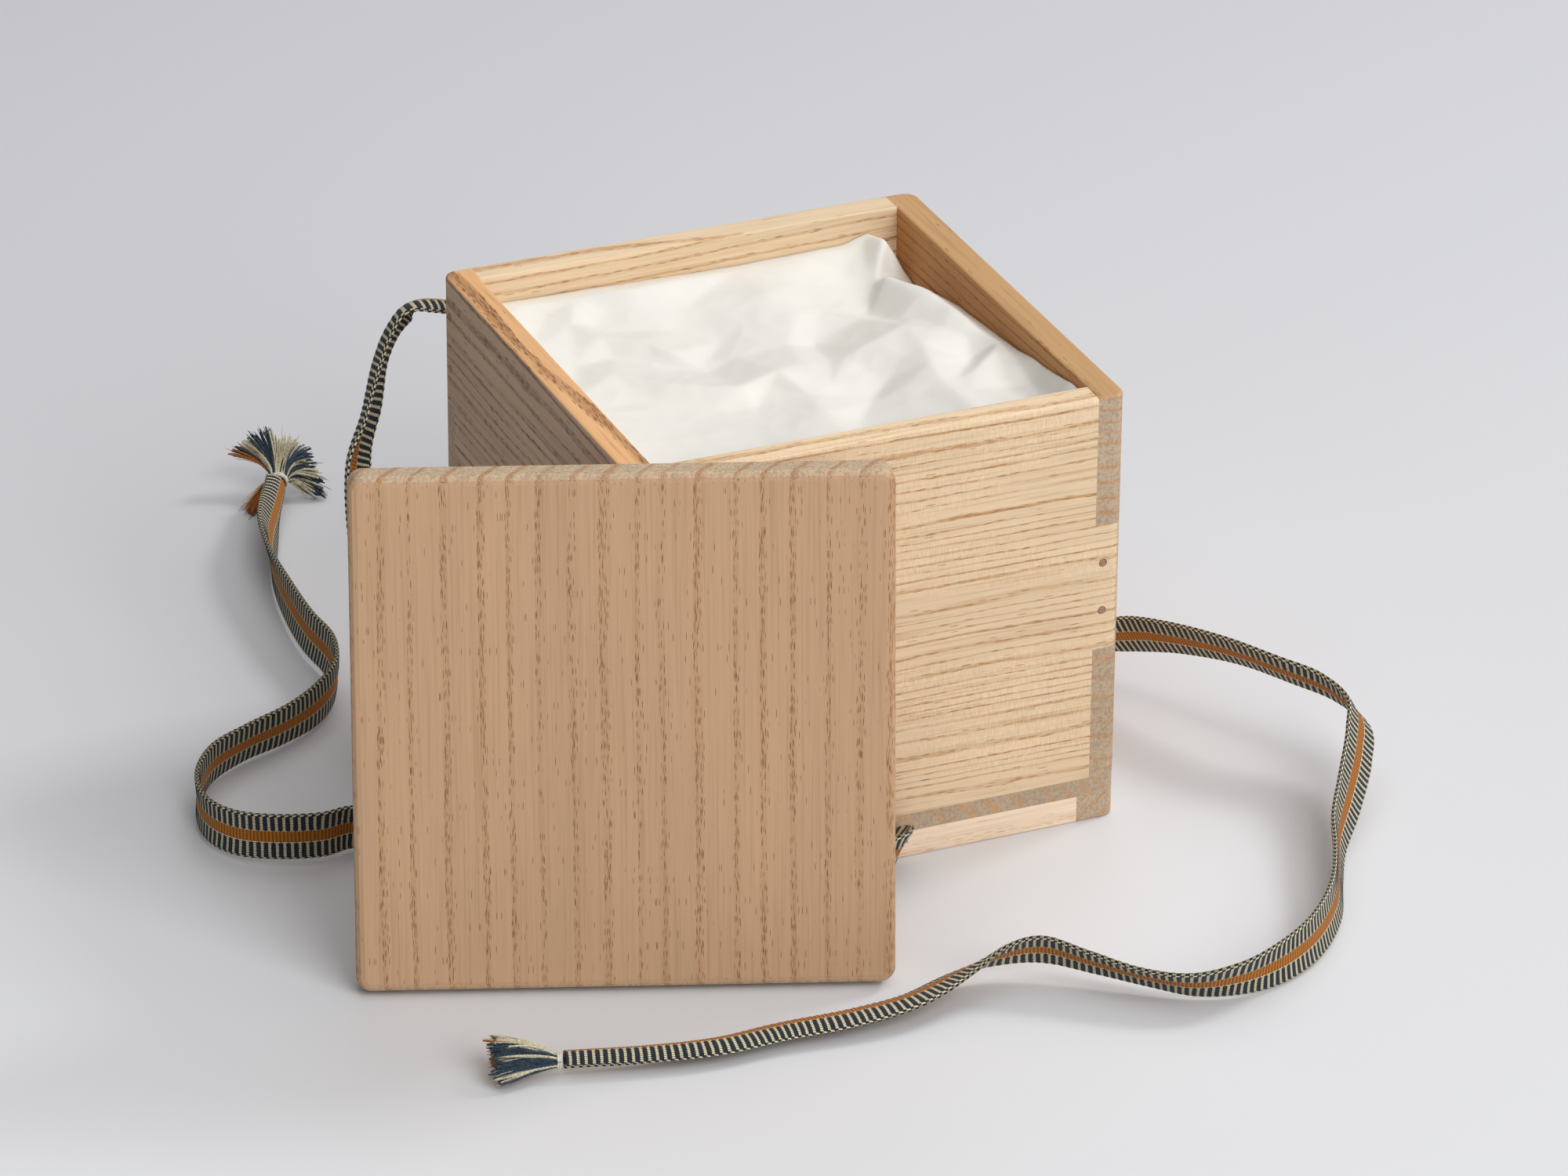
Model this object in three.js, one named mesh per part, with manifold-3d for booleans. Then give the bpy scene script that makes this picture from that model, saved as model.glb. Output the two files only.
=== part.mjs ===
// A pegged wooden keepsake box with a framed lift-off lid, a flat woven tie cord and a paper wrap.
// Millimetres, +Z up. The box stands on the floor, the lid leans on its front left corner and the
// cord lies loose around it. The origin is the middle of the footprint of box and lid, at the floor.
import * as THREE from 'three';
import { mergeVertices } from 'three/addons/utils/BufferGeometryUtils.js';
import Module from 'manifold-3d';

const wasm = await Module();
wasm.setup();

// Box
const boxWidth = 160;
const boxDepth = 159.5;
const wallThickness = 9.5;
const cornerRadius = 4.5;
const edgeEase = 0.8;
const footHeight = 9;
const bottomThickness = 6;
const lowerFinger = 44.5;
const middleFinger = 42.3;
const upperFinger = 42.9;
const sideFootWidth = 13.5;
const frontFootWidth = 13.5;

// Cord slots, cut in the top edge of each foot
const slotWidth = 19;
const slotHeight = 4;

// Pegs
const pegRadius = 1.15;
const pegClearance = 0.2;
const pegReach = 10;
const pegInset = 6.7;
const middlePegPitch = 16.2;
const tabPegPitch = 18;
const footPegOffset = 46;
const footPegReach = 9;

// Lid
const lidWidth = 160;
const lidDepth = 158;
const lidThickness = 12;
const lidEdgeRadius = 2.8;
const battenWidth = 12;
const battenHeight = 10.5;
const battenEase = 1;
const battenClearance = 0.8;

// How the lid leans on the box
const lidTurn = THREE.MathUtils.degToRad(-20.4);
const lidLean = THREE.MathUtils.degToRad(11.09);
const lidContactFromLeft = 87.2;
const restGap = 0.3;

// Paper wrap
const paperThickness = 1.2;
const paperWallGap = 0.6;
const paperBelowRim = 14;
const paperSag = 3;
const paperCells = 22;

// Cord
const cordWidth = 15;
const cordThickness = 1.8;
const cordEdge = 0.5;
const sectionsPerSpan = 3;

// Cord ends
const tieLength = 3.5;
const tieRadius = 3.6;
const tieNeck = 1;
const fringeLength = 22;
const fringeRootRadius = 3.2;
const raisedFringeRadius = 13;
const lyingFringeRadius = 7.4;
const fringeSwellShare = 0.35;
const fringeFlareShare = 0.78;
const raisedSlopeShare = 0.02;
const raisedFlatnessShare = 0.6;
const lyingSlopeShare = 0.02;
const lyingFlatnessShare = 0.46;

// Shared
const overrun = 5;
const joinGap = 0.3;
const tieStart = 2 * joinGap;
const circleSides = 12;

const wallBase = footHeight + bottomThickness;
const lowerJoint = wallBase + lowerFinger;
const upperJoint = lowerJoint + middleFinger;
const rimHeight = upperJoint + upperFinger;
const halfWidth = boxWidth / 2;
const halfDepth = boxDepth / 2;
const innerHalfWidth = halfWidth - wallThickness;
const innerHalfDepth = halfDepth - wallThickness;

// Materials
function plainMaterial(name, color, roughness) {
  return new THREE.MeshStandardMaterial({ name, color, roughness, metalness: 0 });
}

const wallWood = plainMaterial('wall_wood', 0xd9b98e, 0.6);
const bottomWood = plainMaterial('bottom_wood', 0xcdab80, 0.65);
const lidWood = plainMaterial('lid_wood', 0xc9a27e, 0.6);
const pegWood = plainMaterial('peg_wood', 0xa5744a, 0.6);
const paper = plainMaterial('paper', 0xf4f3ee, 0.55);
const cordWeave = plainMaterial('cord_weave', 0x4c5660, 0.9);
const tieThread = plainMaterial('tie_thread', 0xe6dcc4, 0.85);

// Solids and booleans
function toSolid(geometry) {
  const plain = geometry.index ? geometry.toNonIndexed() : geometry.clone();
  for (const name of Object.keys(plain.attributes)) {
    if (name !== 'position') plain.deleteAttribute(name);
  }
  const merged = mergeVertices(plain, 1e-4);
  return new wasm.Manifold(new wasm.Mesh({
    numProp: 3,
    vertProperties: new Float32Array(merged.attributes.position.array),
    triVerts: new Uint32Array(merged.index.array),
  }));
}

function toGeometry(solid) {
  const mesh = solid.getMesh();
  const geometry = new THREE.BufferGeometry();
  geometry.setAttribute('position', new THREE.BufferAttribute(new Float32Array(mesh.vertProperties), 3));
  geometry.setIndex(new THREE.BufferAttribute(new Uint32Array(mesh.triVerts), 1));
  geometry.computeVertexNormals();
  return geometry;
}

const joined = (solids) => solids.reduce((sum, solid) => sum.add(solid));

function block(x0, x1, y0, y1, z0, z1) {
  const geometry = new THREE.BoxGeometry(x1 - x0, y1 - y0, z1 - z0);
  geometry.translate((x0 + x1) / 2, (y0 + y1) / 2, (z0 + z1) / 2);
  return toSolid(geometry);
}

// A rectangle with round corners, as a shape in the XY plane
function roundedOutline(width, depth, radius) {
  const shape = new THREE.Shape();
  const x = width / 2;
  const y = depth / 2;
  shape.moveTo(-x + radius, -y);
  shape.lineTo(x - radius, -y);
  shape.absarc(x - radius, -y + radius, radius, -Math.PI / 2, 0);
  shape.lineTo(x, y - radius);
  shape.absarc(x - radius, y - radius, radius, 0, Math.PI / 2);
  shape.lineTo(-x + radius, y);
  shape.absarc(-x + radius, y - radius, radius, Math.PI / 2, Math.PI);
  shape.lineTo(-x, -y + radius);
  shape.absarc(-x + radius, -y + radius, radius, Math.PI, Math.PI * 1.5);
  return shape;
}

function rectangleHole(halfX, halfY) {
  const hole = new THREE.Path();
  hole.moveTo(-halfX, -halfY);
  hole.lineTo(-halfX, halfY);
  hole.lineTo(halfX, halfY);
  hole.lineTo(halfX, -halfY);
  hole.closePath();
  return hole;
}

// An outline extruded from z0 to z1 with its edges eased by a round of the given radius
function easedPrism(shape, z0, z1, ease, segments) {
  const geometry = new THREE.ExtrudeGeometry(shape, {
    depth: z1 - z0 - 2 * ease,
    bevelEnabled: true,
    bevelThickness: ease,
    bevelSize: ease,
    bevelOffset: -ease,
    bevelSegments: segments,
    curveSegments: 4,
  });
  geometry.translate(0, 0, z0 + ease);
  return toSolid(geometry);
}

// A round rod or drill from one point to another
function rod(from, to, radius) {
  const length = from.distanceTo(to);
  const geometry = new THREE.CylinderGeometry(radius, radius, length, circleSides);
  geometry.translate(0, length / 2, 0);
  const direction = to.clone().sub(from).normalize();
  geometry.applyQuaternion(new THREE.Quaternion().setFromUnitVectors(new THREE.Vector3(0, 1, 0), direction));
  geometry.translate(from.x, from.y, from.z);
  return toSolid(geometry);
}

const drillsOf = (pegs) => joined(pegs.map(([from, to]) => {
  const past = from.clone().sub(to).setLength(overrun).add(from);
  const deep = to.clone().sub(from).setLength(pegClearance).add(to);
  return rod(past, deep, pegRadius + pegClearance);
}));

// Peg lines, each from the face it is driven into to its point
const point = (x, y, z) => new THREE.Vector3(x, y, z);
const bothSigns = [-1, 1];

function frontAndBackPegs(side) {
  const middle = (lowerJoint + upperJoint) / 2;
  return bothSigns.flatMap((sx) => bothSigns.map((sz) => {
    const x = sx * (halfWidth - pegInset);
    const z = middle + sz * middlePegPitch / 2;
    return [point(x, side * halfDepth, z), point(x, side * (innerHalfDepth - pegReach), z)];
  }));
}

function sidePegs(side) {
  const tabs = [(wallBase + lowerJoint) / 2, (upperJoint + rimHeight) / 2];
  return bothSigns.flatMap((sy) => tabs.flatMap((middle) => bothSigns.map((sz) => {
    const y = sy * (halfDepth - pegInset);
    const z = middle + sz * tabPegPitch / 2;
    return [point(side * halfWidth, y, z), point(side * (innerHalfWidth - pegReach), y, z)];
  })));
}

function footPegs() {
  const x = halfWidth - wallThickness / 2;
  const y = halfDepth - wallThickness / 2;
  const places = bothSigns.flatMap((side) => bothSigns.flatMap((along) => [
    [side * x, along * footPegOffset],
    [along * footPegOffset, side * y],
  ]));
  return places.map(([px, py]) => [point(px, py, 0), point(px, py, wallBase + footPegReach)]);
}

const frontPegs = frontAndBackPegs(-1);
const backPegs = frontAndBackPegs(1);
const leftPegs = sidePegs(-1);
const rightPegs = sidePegs(1);
const feetPegs = footPegs();
const allDrills = drillsOf([...frontPegs, ...backPegs, ...leftPegs, ...rightPegs, ...feetPegs]);

// Walls: one eased ring, divided by the fingers of the corner joints
function wallRing() {
  const shape = roundedOutline(boxWidth, boxDepth, cornerRadius);
  shape.holes.push(rectangleHole(innerHalfWidth, innerHalfDepth));
  const ring = easedPrism(shape, wallBase - overrun, rimHeight, edgeEase, 2);
  const lowerCut = block(-boxWidth, boxWidth, -boxDepth, boxDepth, wallBase - 2 * overrun, wallBase);
  return ring.subtract(lowerCut).subtract(allDrills);
}

const ring = wallRing();
const above = rimHeight + overrun;

function sideWall(side) {
  const outer = side * (halfWidth + overrun);
  const inner = side * innerHalfWidth;
  const x0 = Math.min(outer, inner);
  const x1 = Math.max(outer, inner);
  const longY = halfDepth + overrun;
  return ring.intersect(joined([
    block(x0, x1, -longY, longY, wallBase - overrun, lowerJoint),
    block(x0, x1, -innerHalfDepth, innerHalfDepth, lowerJoint, upperJoint),
    block(x0, x1, -longY, longY, upperJoint, above),
  ]));
}

function endWall(side) {
  const outer = side * (halfDepth + overrun);
  const inner = side * innerHalfDepth;
  const y0 = Math.min(outer, inner);
  const y1 = Math.max(outer, inner);
  const longX = halfWidth + overrun;
  return ring.intersect(joined([
    block(-innerHalfWidth, innerHalfWidth, y0, y1, wallBase - overrun, lowerJoint),
    block(-longX, longX, y0, y1, lowerJoint, upperJoint),
    block(-innerHalfWidth, innerHalfWidth, y0, y1, upperJoint, above),
  ]));
}

// Bottom board and the four feet under it
function bottomBoard() {
  const geometry = new THREE.ExtrudeGeometry(roundedOutline(boxWidth, boxDepth, cornerRadius), {
    depth: bottomThickness, bevelEnabled: false, curveSegments: 4,
  });
  geometry.translate(0, 0, footHeight);
  return toSolid(geometry).subtract(allDrills);
}

function footBlank() {
  const outline = roundedOutline(boxWidth, boxDepth, cornerRadius);
  const plain = easedPrism(outline, 0, footHeight + overrun, edgeEase, 2);
  return plain.subtract(block(-boxWidth, boxWidth, -boxDepth, boxDepth, footHeight, footHeight + 2 * overrun));
}

const footStock = footBlank();
const slotBase = footHeight - slotHeight;

function sideFoot(side) {
  const outer = side * (halfWidth + overrun);
  const inner = side * (halfWidth - sideFootWidth);
  const x0 = Math.min(outer, inner);
  const x1 = Math.max(outer, inner);
  const foot = footStock.intersect(block(x0, x1, -boxDepth, boxDepth, -overrun, footHeight));
  const slot = block(x0 - overrun, x1 + overrun, -slotWidth / 2, slotWidth / 2, slotBase, footHeight + overrun);
  return foot.subtract(slot).subtract(allDrills);
}

function endFoot(side) {
  const outer = side * (halfDepth + overrun);
  const inner = side * (halfDepth - frontFootWidth);
  const y0 = Math.min(outer, inner);
  const y1 = Math.max(outer, inner);
  const reach = halfWidth - sideFootWidth;
  const foot = footStock.intersect(block(-reach, reach, y0, y1, -overrun, footHeight));
  const slot = block(-slotWidth / 2, slotWidth / 2, y0 - overrun, y1 + overrun, slotBase, footHeight + overrun);
  return foot.subtract(slot).subtract(allDrills);
}

// Lid: local frame with x across, y up the board and z out of the face that shows
const battenInset = wallThickness + battenClearance;

function lidBoard() {
  const outline = roundedOutline(lidWidth, lidDepth, cornerRadius);
  const thick = easedPrism(outline, -lidThickness, lidThickness, lidEdgeRadius, 3);
  const half = thick.subtract(block(-lidWidth, lidWidth, -lidDepth, lidDepth, -2 * lidThickness, 0));
  return half.translate([lidWidth / 2, lidDepth / 2, 0]);
}

// A batten with its lower edges chamfered, glued to the underside
function batten(x0, x1, y0, y1) {
  const alongX = x1 - x0 > y1 - y0;
  const width = alongX ? y1 - y0 : x1 - x0;
  const length = alongX ? x1 - x0 : y1 - y0;
  const section = new THREE.Shape();
  section.moveTo(-width / 2, -joinGap);
  section.lineTo(-width / 2, -battenHeight + battenEase);
  section.lineTo(-width / 2 + battenEase, -battenHeight);
  section.lineTo(width / 2 - battenEase, -battenHeight);
  section.lineTo(width / 2, -battenHeight + battenEase);
  section.lineTo(width / 2, -joinGap);
  const geometry = new THREE.ExtrudeGeometry(section, { depth: length, bevelEnabled: false });
  geometry.translate(0, 0, -length / 2);
  geometry.rotateX(Math.PI / 2);
  if (alongX) geometry.rotateZ(Math.PI / 2);
  geometry.translate((x0 + x1) / 2, (y0 + y1) / 2, 0);
  return toSolid(geometry);
}

function sideBatten(side) {
  const outer = lidWidth / 2 + side * (lidWidth / 2 - battenInset);
  const inner = outer - side * battenWidth;
  return batten(Math.min(outer, inner), Math.max(outer, inner), battenInset, lidDepth - battenInset);
}

function endBatten(side) {
  const outer = lidDepth / 2 + side * (lidDepth / 2 - battenInset);
  const inner = outer - side * battenWidth;
  const reach = battenInset + battenWidth + joinGap;
  return batten(reach, lidWidth - reach, Math.min(outer, inner), Math.max(outer, inner));
}

// How far behind the lid's lower edge the box corner meets its upper batten,
// or its board where a deep lid has that batten above the rim
function lidBackReach() {
  const battenTop = lidDepth - battenInset;
  const rimReach = (rimHeight + battenHeight * Math.sin(lidLean)) / Math.cos(lidLean);
  if (battenTop - battenWidth > rimReach) return rimHeight * Math.tan(lidLean);
  const contact = Math.min(battenTop, rimReach);
  return contact * Math.sin(lidLean) + battenHeight * Math.cos(lidLean);
}

// Where the leaning lid stands: its lower edge on the floor, its inner side against the box corner
function lidPlace() {
  const along = new THREE.Vector2(Math.cos(lidTurn), Math.sin(lidTurn));
  const back = new THREE.Vector2(-Math.sin(lidTurn), Math.cos(lidTurn));
  const corner = new THREE.Vector2(-halfWidth + cornerRadius, -halfDepth + cornerRadius);
  const touch = corner.clone().addScaledVector(back, -cornerRadius);
  const offset = touch.dot(back) - restGap - lidBackReach();
  const start = touch.dot(along) - lidContactFromLeft;
  const place = along.clone().multiplyScalar(start).addScaledVector(back, offset);
  return new THREE.Vector3(place.x, place.y, 0);
}

// Paper wrap: an open-bottomed tent whose top is crumpled.
// Each crease has its two ends as shares of the half size, how far each end rises above the sheet
// or sinks below it, and how wide the crease spreads.
const paperHalfWidth = innerHalfWidth - paperWallGap;
const paperHalfDepth = innerHalfDepth - paperWallGap;
const paperCornerRise = { frontLeft: 0.5, frontRight: 2, backLeft: 3.5, backRight: 0 };
const paperCreases = [
  { fromShare: [0.14, 0.98], toShare: [0.74, 0.92], rise: [0.5, 3], spread: 20 },
  { fromShare: [0.74, 0.92], toShare: [0.96, 0.96], rise: [3, 4], spread: 14 },
  { fromShare: [0.80, 0.70], toShare: [0.93, 0.44], rise: [3.5, 4.5], spread: 13 },
  { fromShare: [0.93, 0.44], toShare: [0.95, -0.14], rise: [4.5, 3], spread: 15 },
  { fromShare: [-0.30, 0.96], toShare: [-0.45, 0.60], rise: [3, 0.5], spread: 10 },
  { fromShare: [-0.75, 0.80], toShare: [-0.30, 0.17], rise: [1, 3], spread: 18 },
  { fromShare: [-0.73, 0.30], toShare: [-0.02, 0], rise: [1.5, 4.5], spread: 20 },
  { fromShare: [-0.02, 0], toShare: [0.36, 0.08], rise: [4.5, 2.5], spread: 14 },
  { fromShare: [0.36, 0.08], toShare: [0.66, 0.18], rise: [2.5, 5], spread: 15 },
  { fromShare: [0.66, 0.18], toShare: [0.54, -0.10], rise: [5, 5], spread: 12 },
  { fromShare: [0.54, -0.10], toShare: [0.16, -0.46], rise: [5, 1], spread: 18 },
  { fromShare: [0.90, -0.18], toShare: [0.64, -0.50], rise: [4, 5], spread: 13 },
  { fromShare: [0.64, -0.50], toShare: [0.30, -0.85], rise: [5, 2], spread: 20 },
  { fromShare: [0.99, -0.30], toShare: [0.99, -0.95], rise: [4, 9], spread: 13 },
  { fromShare: [0.98, 0.80], toShare: [0.57, 0.40], rise: [-7, -2.5], spread: 13 },
  { fromShare: [-0.20, -0.30], toShare: [0.10, -0.75], rise: [-2, -1], spread: 24 },
];

// How far a crease lifts or sinks a place
function creaseRise(x, y, crease) {
  const [fromX, fromY] = crease.fromShare;
  const [toX, toY] = crease.toShare;
  const from = new THREE.Vector2(fromX * paperHalfWidth, fromY * paperHalfDepth);
  const line = new THREE.Vector2(toX * paperHalfWidth, toY * paperHalfDepth).sub(from);
  const place = new THREE.Vector2(x, y);
  const share = THREE.MathUtils.clamp(place.clone().sub(from).dot(line) / line.lengthSq(), 0, 1);
  const distance = place.distanceTo(from.addScaledVector(line, share));
  const nearness = Math.max(0, 1 - distance / crease.spread);
  return THREE.MathUtils.lerp(crease.rise[0], crease.rise[1], share) * nearness * (1 + nearness) / 2;
}

function paperHeight(x, y) {
  const u = (x / paperHalfWidth + 1) / 2;
  const v = (y / paperHalfDepth + 1) / 2;
  const front = THREE.MathUtils.lerp(paperCornerRise.frontLeft, paperCornerRise.frontRight, u);
  const back = THREE.MathUtils.lerp(paperCornerRise.backLeft, paperCornerRise.backRight, u);
  const sag = paperSag * 16 * u * (1 - u) * v * (1 - v);
  const rises = paperCreases.map((crease) => creaseRise(x, y, crease));
  const folds = Math.max(0, ...rises) + Math.min(0, ...rises);
  return rimHeight - paperBelowRim + THREE.MathUtils.lerp(front, back, v) - sag + folds;
}

// A prism with a crumpled top: a grid above, flat walls and a flat base
function paperPrism(inset, drop, base) {
  const cells = paperCells;
  const row = cells + 1;
  const positions = [];
  const indices = [];
  const at = (i, count, half) => THREE.MathUtils.lerp(-half, half, i / count);
  for (let j = 0; j < row; j += 1) {
    for (let i = 0; i < row; i += 1) {
      const x = at(i, cells, paperHalfWidth - inset);
      const y = at(j, cells, paperHalfDepth - inset);
      positions.push(x, y, paperHeight(x, y) - drop);
    }
  }
  const rim = [];
  for (let i = 0; i < cells; i += 1) rim.push(i);
  for (let j = 0; j < cells; j += 1) rim.push(j * row + cells);
  for (let i = cells; i > 0; i -= 1) rim.push(cells * row + i);
  for (let j = cells; j > 0; j -= 1) rim.push(j * row);
  const firstBase = positions.length / 3;
  for (const index of rim) positions.push(positions[3 * index], positions[3 * index + 1], base);
  const centre = positions.length / 3;
  positions.push(0, 0, base);
  for (let j = 0; j < cells; j += 1) {
    for (let i = 0; i < cells; i += 1) {
      const a = j * row + i;
      indices.push(a, a + 1, a + row + 1, a, a + row + 1, a + row);
    }
  }
  rim.forEach((index, k) => {
    const next = (k + 1) % rim.length;
    indices.push(index, firstBase + k, firstBase + next, index, firstBase + next, rim[next]);
    indices.push(firstBase + k, centre, firstBase + next);
  });
  const geometry = new THREE.BufferGeometry();
  geometry.setAttribute('position', new THREE.Float32BufferAttribute(positions, 3));
  geometry.setIndex(indices);
  return toSolid(geometry);
}

function wrappingPaper() {
  const base = wallBase + joinGap;
  return paperPrism(0, 0, base).subtract(paperPrism(paperThickness, paperThickness, base - overrun));
}

// Cord: routes around the box, in millimetres from the middle of its base, drawn round a box
// of this size. Each point is x, y, z and the lean of the cord's width away from upright, in
// degrees, to the right of the way it runs. At 90 it lies flat.
const routedWidth = 160;
const routedDepth = 159.5;
const slotMiddle = footHeight - slotHeight / 2;
const slotRise = 0.4;
const slotDip = 1.9;
const frontEndRoute = [
  [0, -79.1, slotMiddle, -90],
  [0, -83, 7.6, -78],
  [2, -87.5, 10, -52],
  [1, -93, 11.5, -24],
  [-7, -97, 11, -8],
  [-22, -96, 9.5, -4],
  [-52, -93.5, 8.5, -5],
  [-84, -91, 8.5, -6],
  [-112, -65.5, 8.5, -10],
  [-129.5, -34, 8.5, -8],
  [-145, -12.5, 9, -2],
  [-157, -14.5, 10, 3],
  [-169, -11, 10, 4],
  [-180, -3, 9.5, 5],
  [-185, 9, 9, 2],
  [-182.5, 27, 8.5, 0],
  [-172.5, 43, 8.5, 6],
  [-158.5, 52, 8.5, 12],
  [-142, 59, 8.5, 8],
  [-128.3, 68, 8.5, 0],
  [-117.5, 81.5, 8.5, 4],
  [-113.2, 97, 8.5, 10],
  [-113.8, 116, 8.5, 10],
  [-112.4, 138, 8.5, 6],
  [-109, 163, 8.5, -6],
  [-103, 184, 8.3, -22],
  [-95, 202, 8, -30],
  [-87, 219, 8.2, -34],
];
const rightEndRoute = [
  [79.4, 0, slotMiddle, 90],
  [85, 0, 7.2, 86],
  [93, 1.5, 9.3, 70],
  [102, 2.5, 12.6, 48],
  [110, 0, 16.7, 30],
  [117, -9, 21.2, 22],
  [124, -23, 25.7, 26],
  [135.5, -45, 29.2, 33],
  [145, -63, 29.3, 34],
  [154.5, -76, 27.2, 34],
  [158, -89, 24, 34],
  [152.5, -101, 20, 32],
  [140.8, -118, 14, 26],
  [129.2, -134, 10.5, 16],
  [121.5, -149, 9, 10],
  [111.3, -167.5, 8.5, 12],
  [96, -184.5, 8.5, 10],
  [80, -194, 8.3, 0],
  [65, -197.2, 8, -20],
  [51, -194.3, 7.4, -36],
  [39, -186, 8.2, -42],
  [27, -175, 10, -36],
  [15, -165, 11.8, -30],
  [3, -162, 10.6, -40],
  [-10.5, -163.5, 8.2, -60],
  [-29, -168, 6, -70],
  [-49, -168.5, 4.8, -73],
  [-70, -167, 4.2, -72],
  [-91, -168, 4.2, -70],
  [-112, -165.5, 4.4, -66],
  [-135.5, -160, 4.8, -62],
];
const loopRoute = [
  [-79.4, 0, slotMiddle, 0],
  [-91, 0, 7.4, 2],
  [-107.6, 5, 17, 8],
  [-117, 22, 34, 18],
  [-117.6, 50, 55, 24],
  [-110.4, 78, 85, 20],
  [-103, 85, 99, 28],
  [-98, 89, 113, 34],
  [-93, 90, 123, 24],
  [-87, 90, 129, 6],
  [-79, 90, 129, -8],
  [-62, 90, 121, -14],
  [-44, 89, 101, -12],
  [-24, 88, 70, -8],
  [-7, 91, 36, 0],
  [-1, 96, 19, 0],
  [0, 93.5, 10, 0],
  [0, 87, 7.2, 0],
  [0, 79.1, slotMiddle, 0],
];
const frontToBackRoute = [
  [0, -78.8, slotMiddle, 90],
  [0, -40, slotMiddle + slotRise, 90],
  [0, 40, slotMiddle + slotRise, 90],
  [0, 78.8, slotMiddle, 90],
];
const leftToRightRoute = [
  [-79.1, 0, slotMiddle, 90],
  [-62, 0, slotMiddle - slotRise, 90],
  [-30, 0, slotMiddle - slotDip, 90],
  [30, 0, slotMiddle - slotDip, 90],
  [62, 0, slotMiddle - slotRise, 90],
  [79.1, 0, slotMiddle, 90],
];
const upright = new THREE.Vector3(0, 0, 1);
const loopReference = new THREE.Vector3(1, 1, 0).normalize();

function routePoint([x, y, z]) {
  return new THREE.Vector3(x * boxWidth / routedWidth, y * boxDepth / routedDepth, z);
}

// The direction of the cord's width where it runs along a tangent and leans by an angle
function widthDirection(tangent, reference, lean) {
  const right = new THREE.Vector3().crossVectors(tangent, reference).normalize();
  const raised = new THREE.Vector3().crossVectors(right, tangent);
  return raised.multiplyScalar(Math.cos(lean)).addScaledVector(right, Math.sin(lean));
}

// A smooth path with sections spaced evenly between the points of its route, turned by their leans
class RibbonPath extends THREE.CatmullRomCurve3 {
  constructor(route, reference) {
    super(route.map(routePoint), false, 'centripetal');
    this.leans = route.map(([, , , lean]) => THREE.MathUtils.degToRad(lean));
    this.reference = reference;
  }

  leanAt(share) {
    const place = share * (this.leans.length - 1);
    const before = Math.floor(place);
    const after = Math.min(before + 1, this.leans.length - 1);
    return THREE.MathUtils.lerp(this.leans[before], this.leans[after], place - before);
  }

  getSpacedPoints(steps) {
    return this.getPoints(steps);
  }

  computeFrenetFrames(steps) {
    const shares = Array.from({ length: steps + 1 }, (_, i) => i / steps);
    const tangents = shares.map((share) => this.getTangent(share));
    const normals = tangents.map((tangent, i) => {
      return widthDirection(tangent, this.reference, this.leanAt(shares[i]));
    });
    const binormals = tangents.map((tangent, i) => new THREE.Vector3().crossVectors(tangent, normals[i]));
    return { tangents, normals, binormals };
  }
}

function cordSection() {
  const side = cordWidth / 2;
  const face = cordThickness / 2;
  const inner = side - cordEdge;
  const edge = face - cordEdge;
  const section = new THREE.Shape();
  section.moveTo(side, -edge);
  section.lineTo(side, edge);
  section.lineTo(inner, face);
  section.lineTo(-inner, face);
  section.lineTo(-side, edge);
  section.lineTo(-side, -edge);
  section.lineTo(-inner, -face);
  section.lineTo(inner, -face);
  section.closePath();
  return section;
}

function ribbon(route, reference) {
  return new THREE.ExtrudeGeometry(cordSection(), {
    steps: sectionsPerSpan * (route.length - 1),
    extrudePath: new RibbonPath(route, reference),
    bevelEnabled: false,
  });
}

// Cord end: a thread tie and a fringe, set on from the last stretch of a route.
// The slope share says how steeply it climbs, and the flatness share how far it is pressed flat.
function beyondEnd(profile, route, slopeShare, flatnessShare, start) {
  const last = routePoint(route.at(-1));
  const direction = last.clone().sub(routePoint(route.at(-2)));
  direction.z = slopeShare * Math.hypot(direction.x, direction.y);
  direction.normalize();
  const right = new THREE.Vector3().crossVectors(direction, upright).normalize();
  const top = new THREE.Vector3().crossVectors(right, direction);
  const points = profile.map(([radius, length]) => new THREE.Vector2(radius, length));
  const geometry = new THREE.LatheGeometry(points, circleSides);
  geometry.scale(1, 1, flatnessShare);
  geometry.applyMatrix4(new THREE.Matrix4().makeBasis(right, direction, top));
  const place = last.addScaledVector(direction, start);
  return geometry.translate(place.x, place.y, place.z);
}

function cordTie(route, slopeShare) {
  const neck = tieRadius - tieNeck;
  const profile = [
    [0, 0],
    [neck, 0],
    [tieRadius, tieNeck],
    [tieRadius, tieLength - tieNeck],
    [neck, tieLength],
    [0, tieLength],
  ];
  return beyondEnd(profile, route, slopeShare, 1, tieStart);
}

function fringe(route, slopeShare, radius, flatnessShare) {
  const between = (share) => THREE.MathUtils.lerp(fringeRootRadius, radius, share);
  const profile = [
    [0, 0],
    [fringeRootRadius, 0],
    [between(fringeSwellShare), fringeLength * fringeSwellShare],
    [between(fringeFlareShare), fringeLength * fringeFlareShare],
    [radius, fringeLength],
    [0, fringeLength],
  ];
  return beyondEnd(profile, route, slopeShare, flatnessShare, tieStart + tieLength + joinGap);
}

// Assembly
const assembly = new THREE.Group();
const boxGroup = new THREE.Group();
const lidGroup = new THREE.Group();
const lidTilt = new THREE.Group();
const cordGroup = new THREE.Group();

function addPiece(parent, name, shape, material) {
  const geometry = shape.isBufferGeometry ? shape : toGeometry(shape);
  const mesh = new THREE.Mesh(geometry, material);
  mesh.name = name;
  parent.add(mesh);
}

function addPegs(name, pegs) {
  pegs.forEach(([from, to], index) => {
    addPiece(boxGroup, `${name}_${index + 1}`, rod(from, to, pegRadius), pegWood);
  });
}

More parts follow.
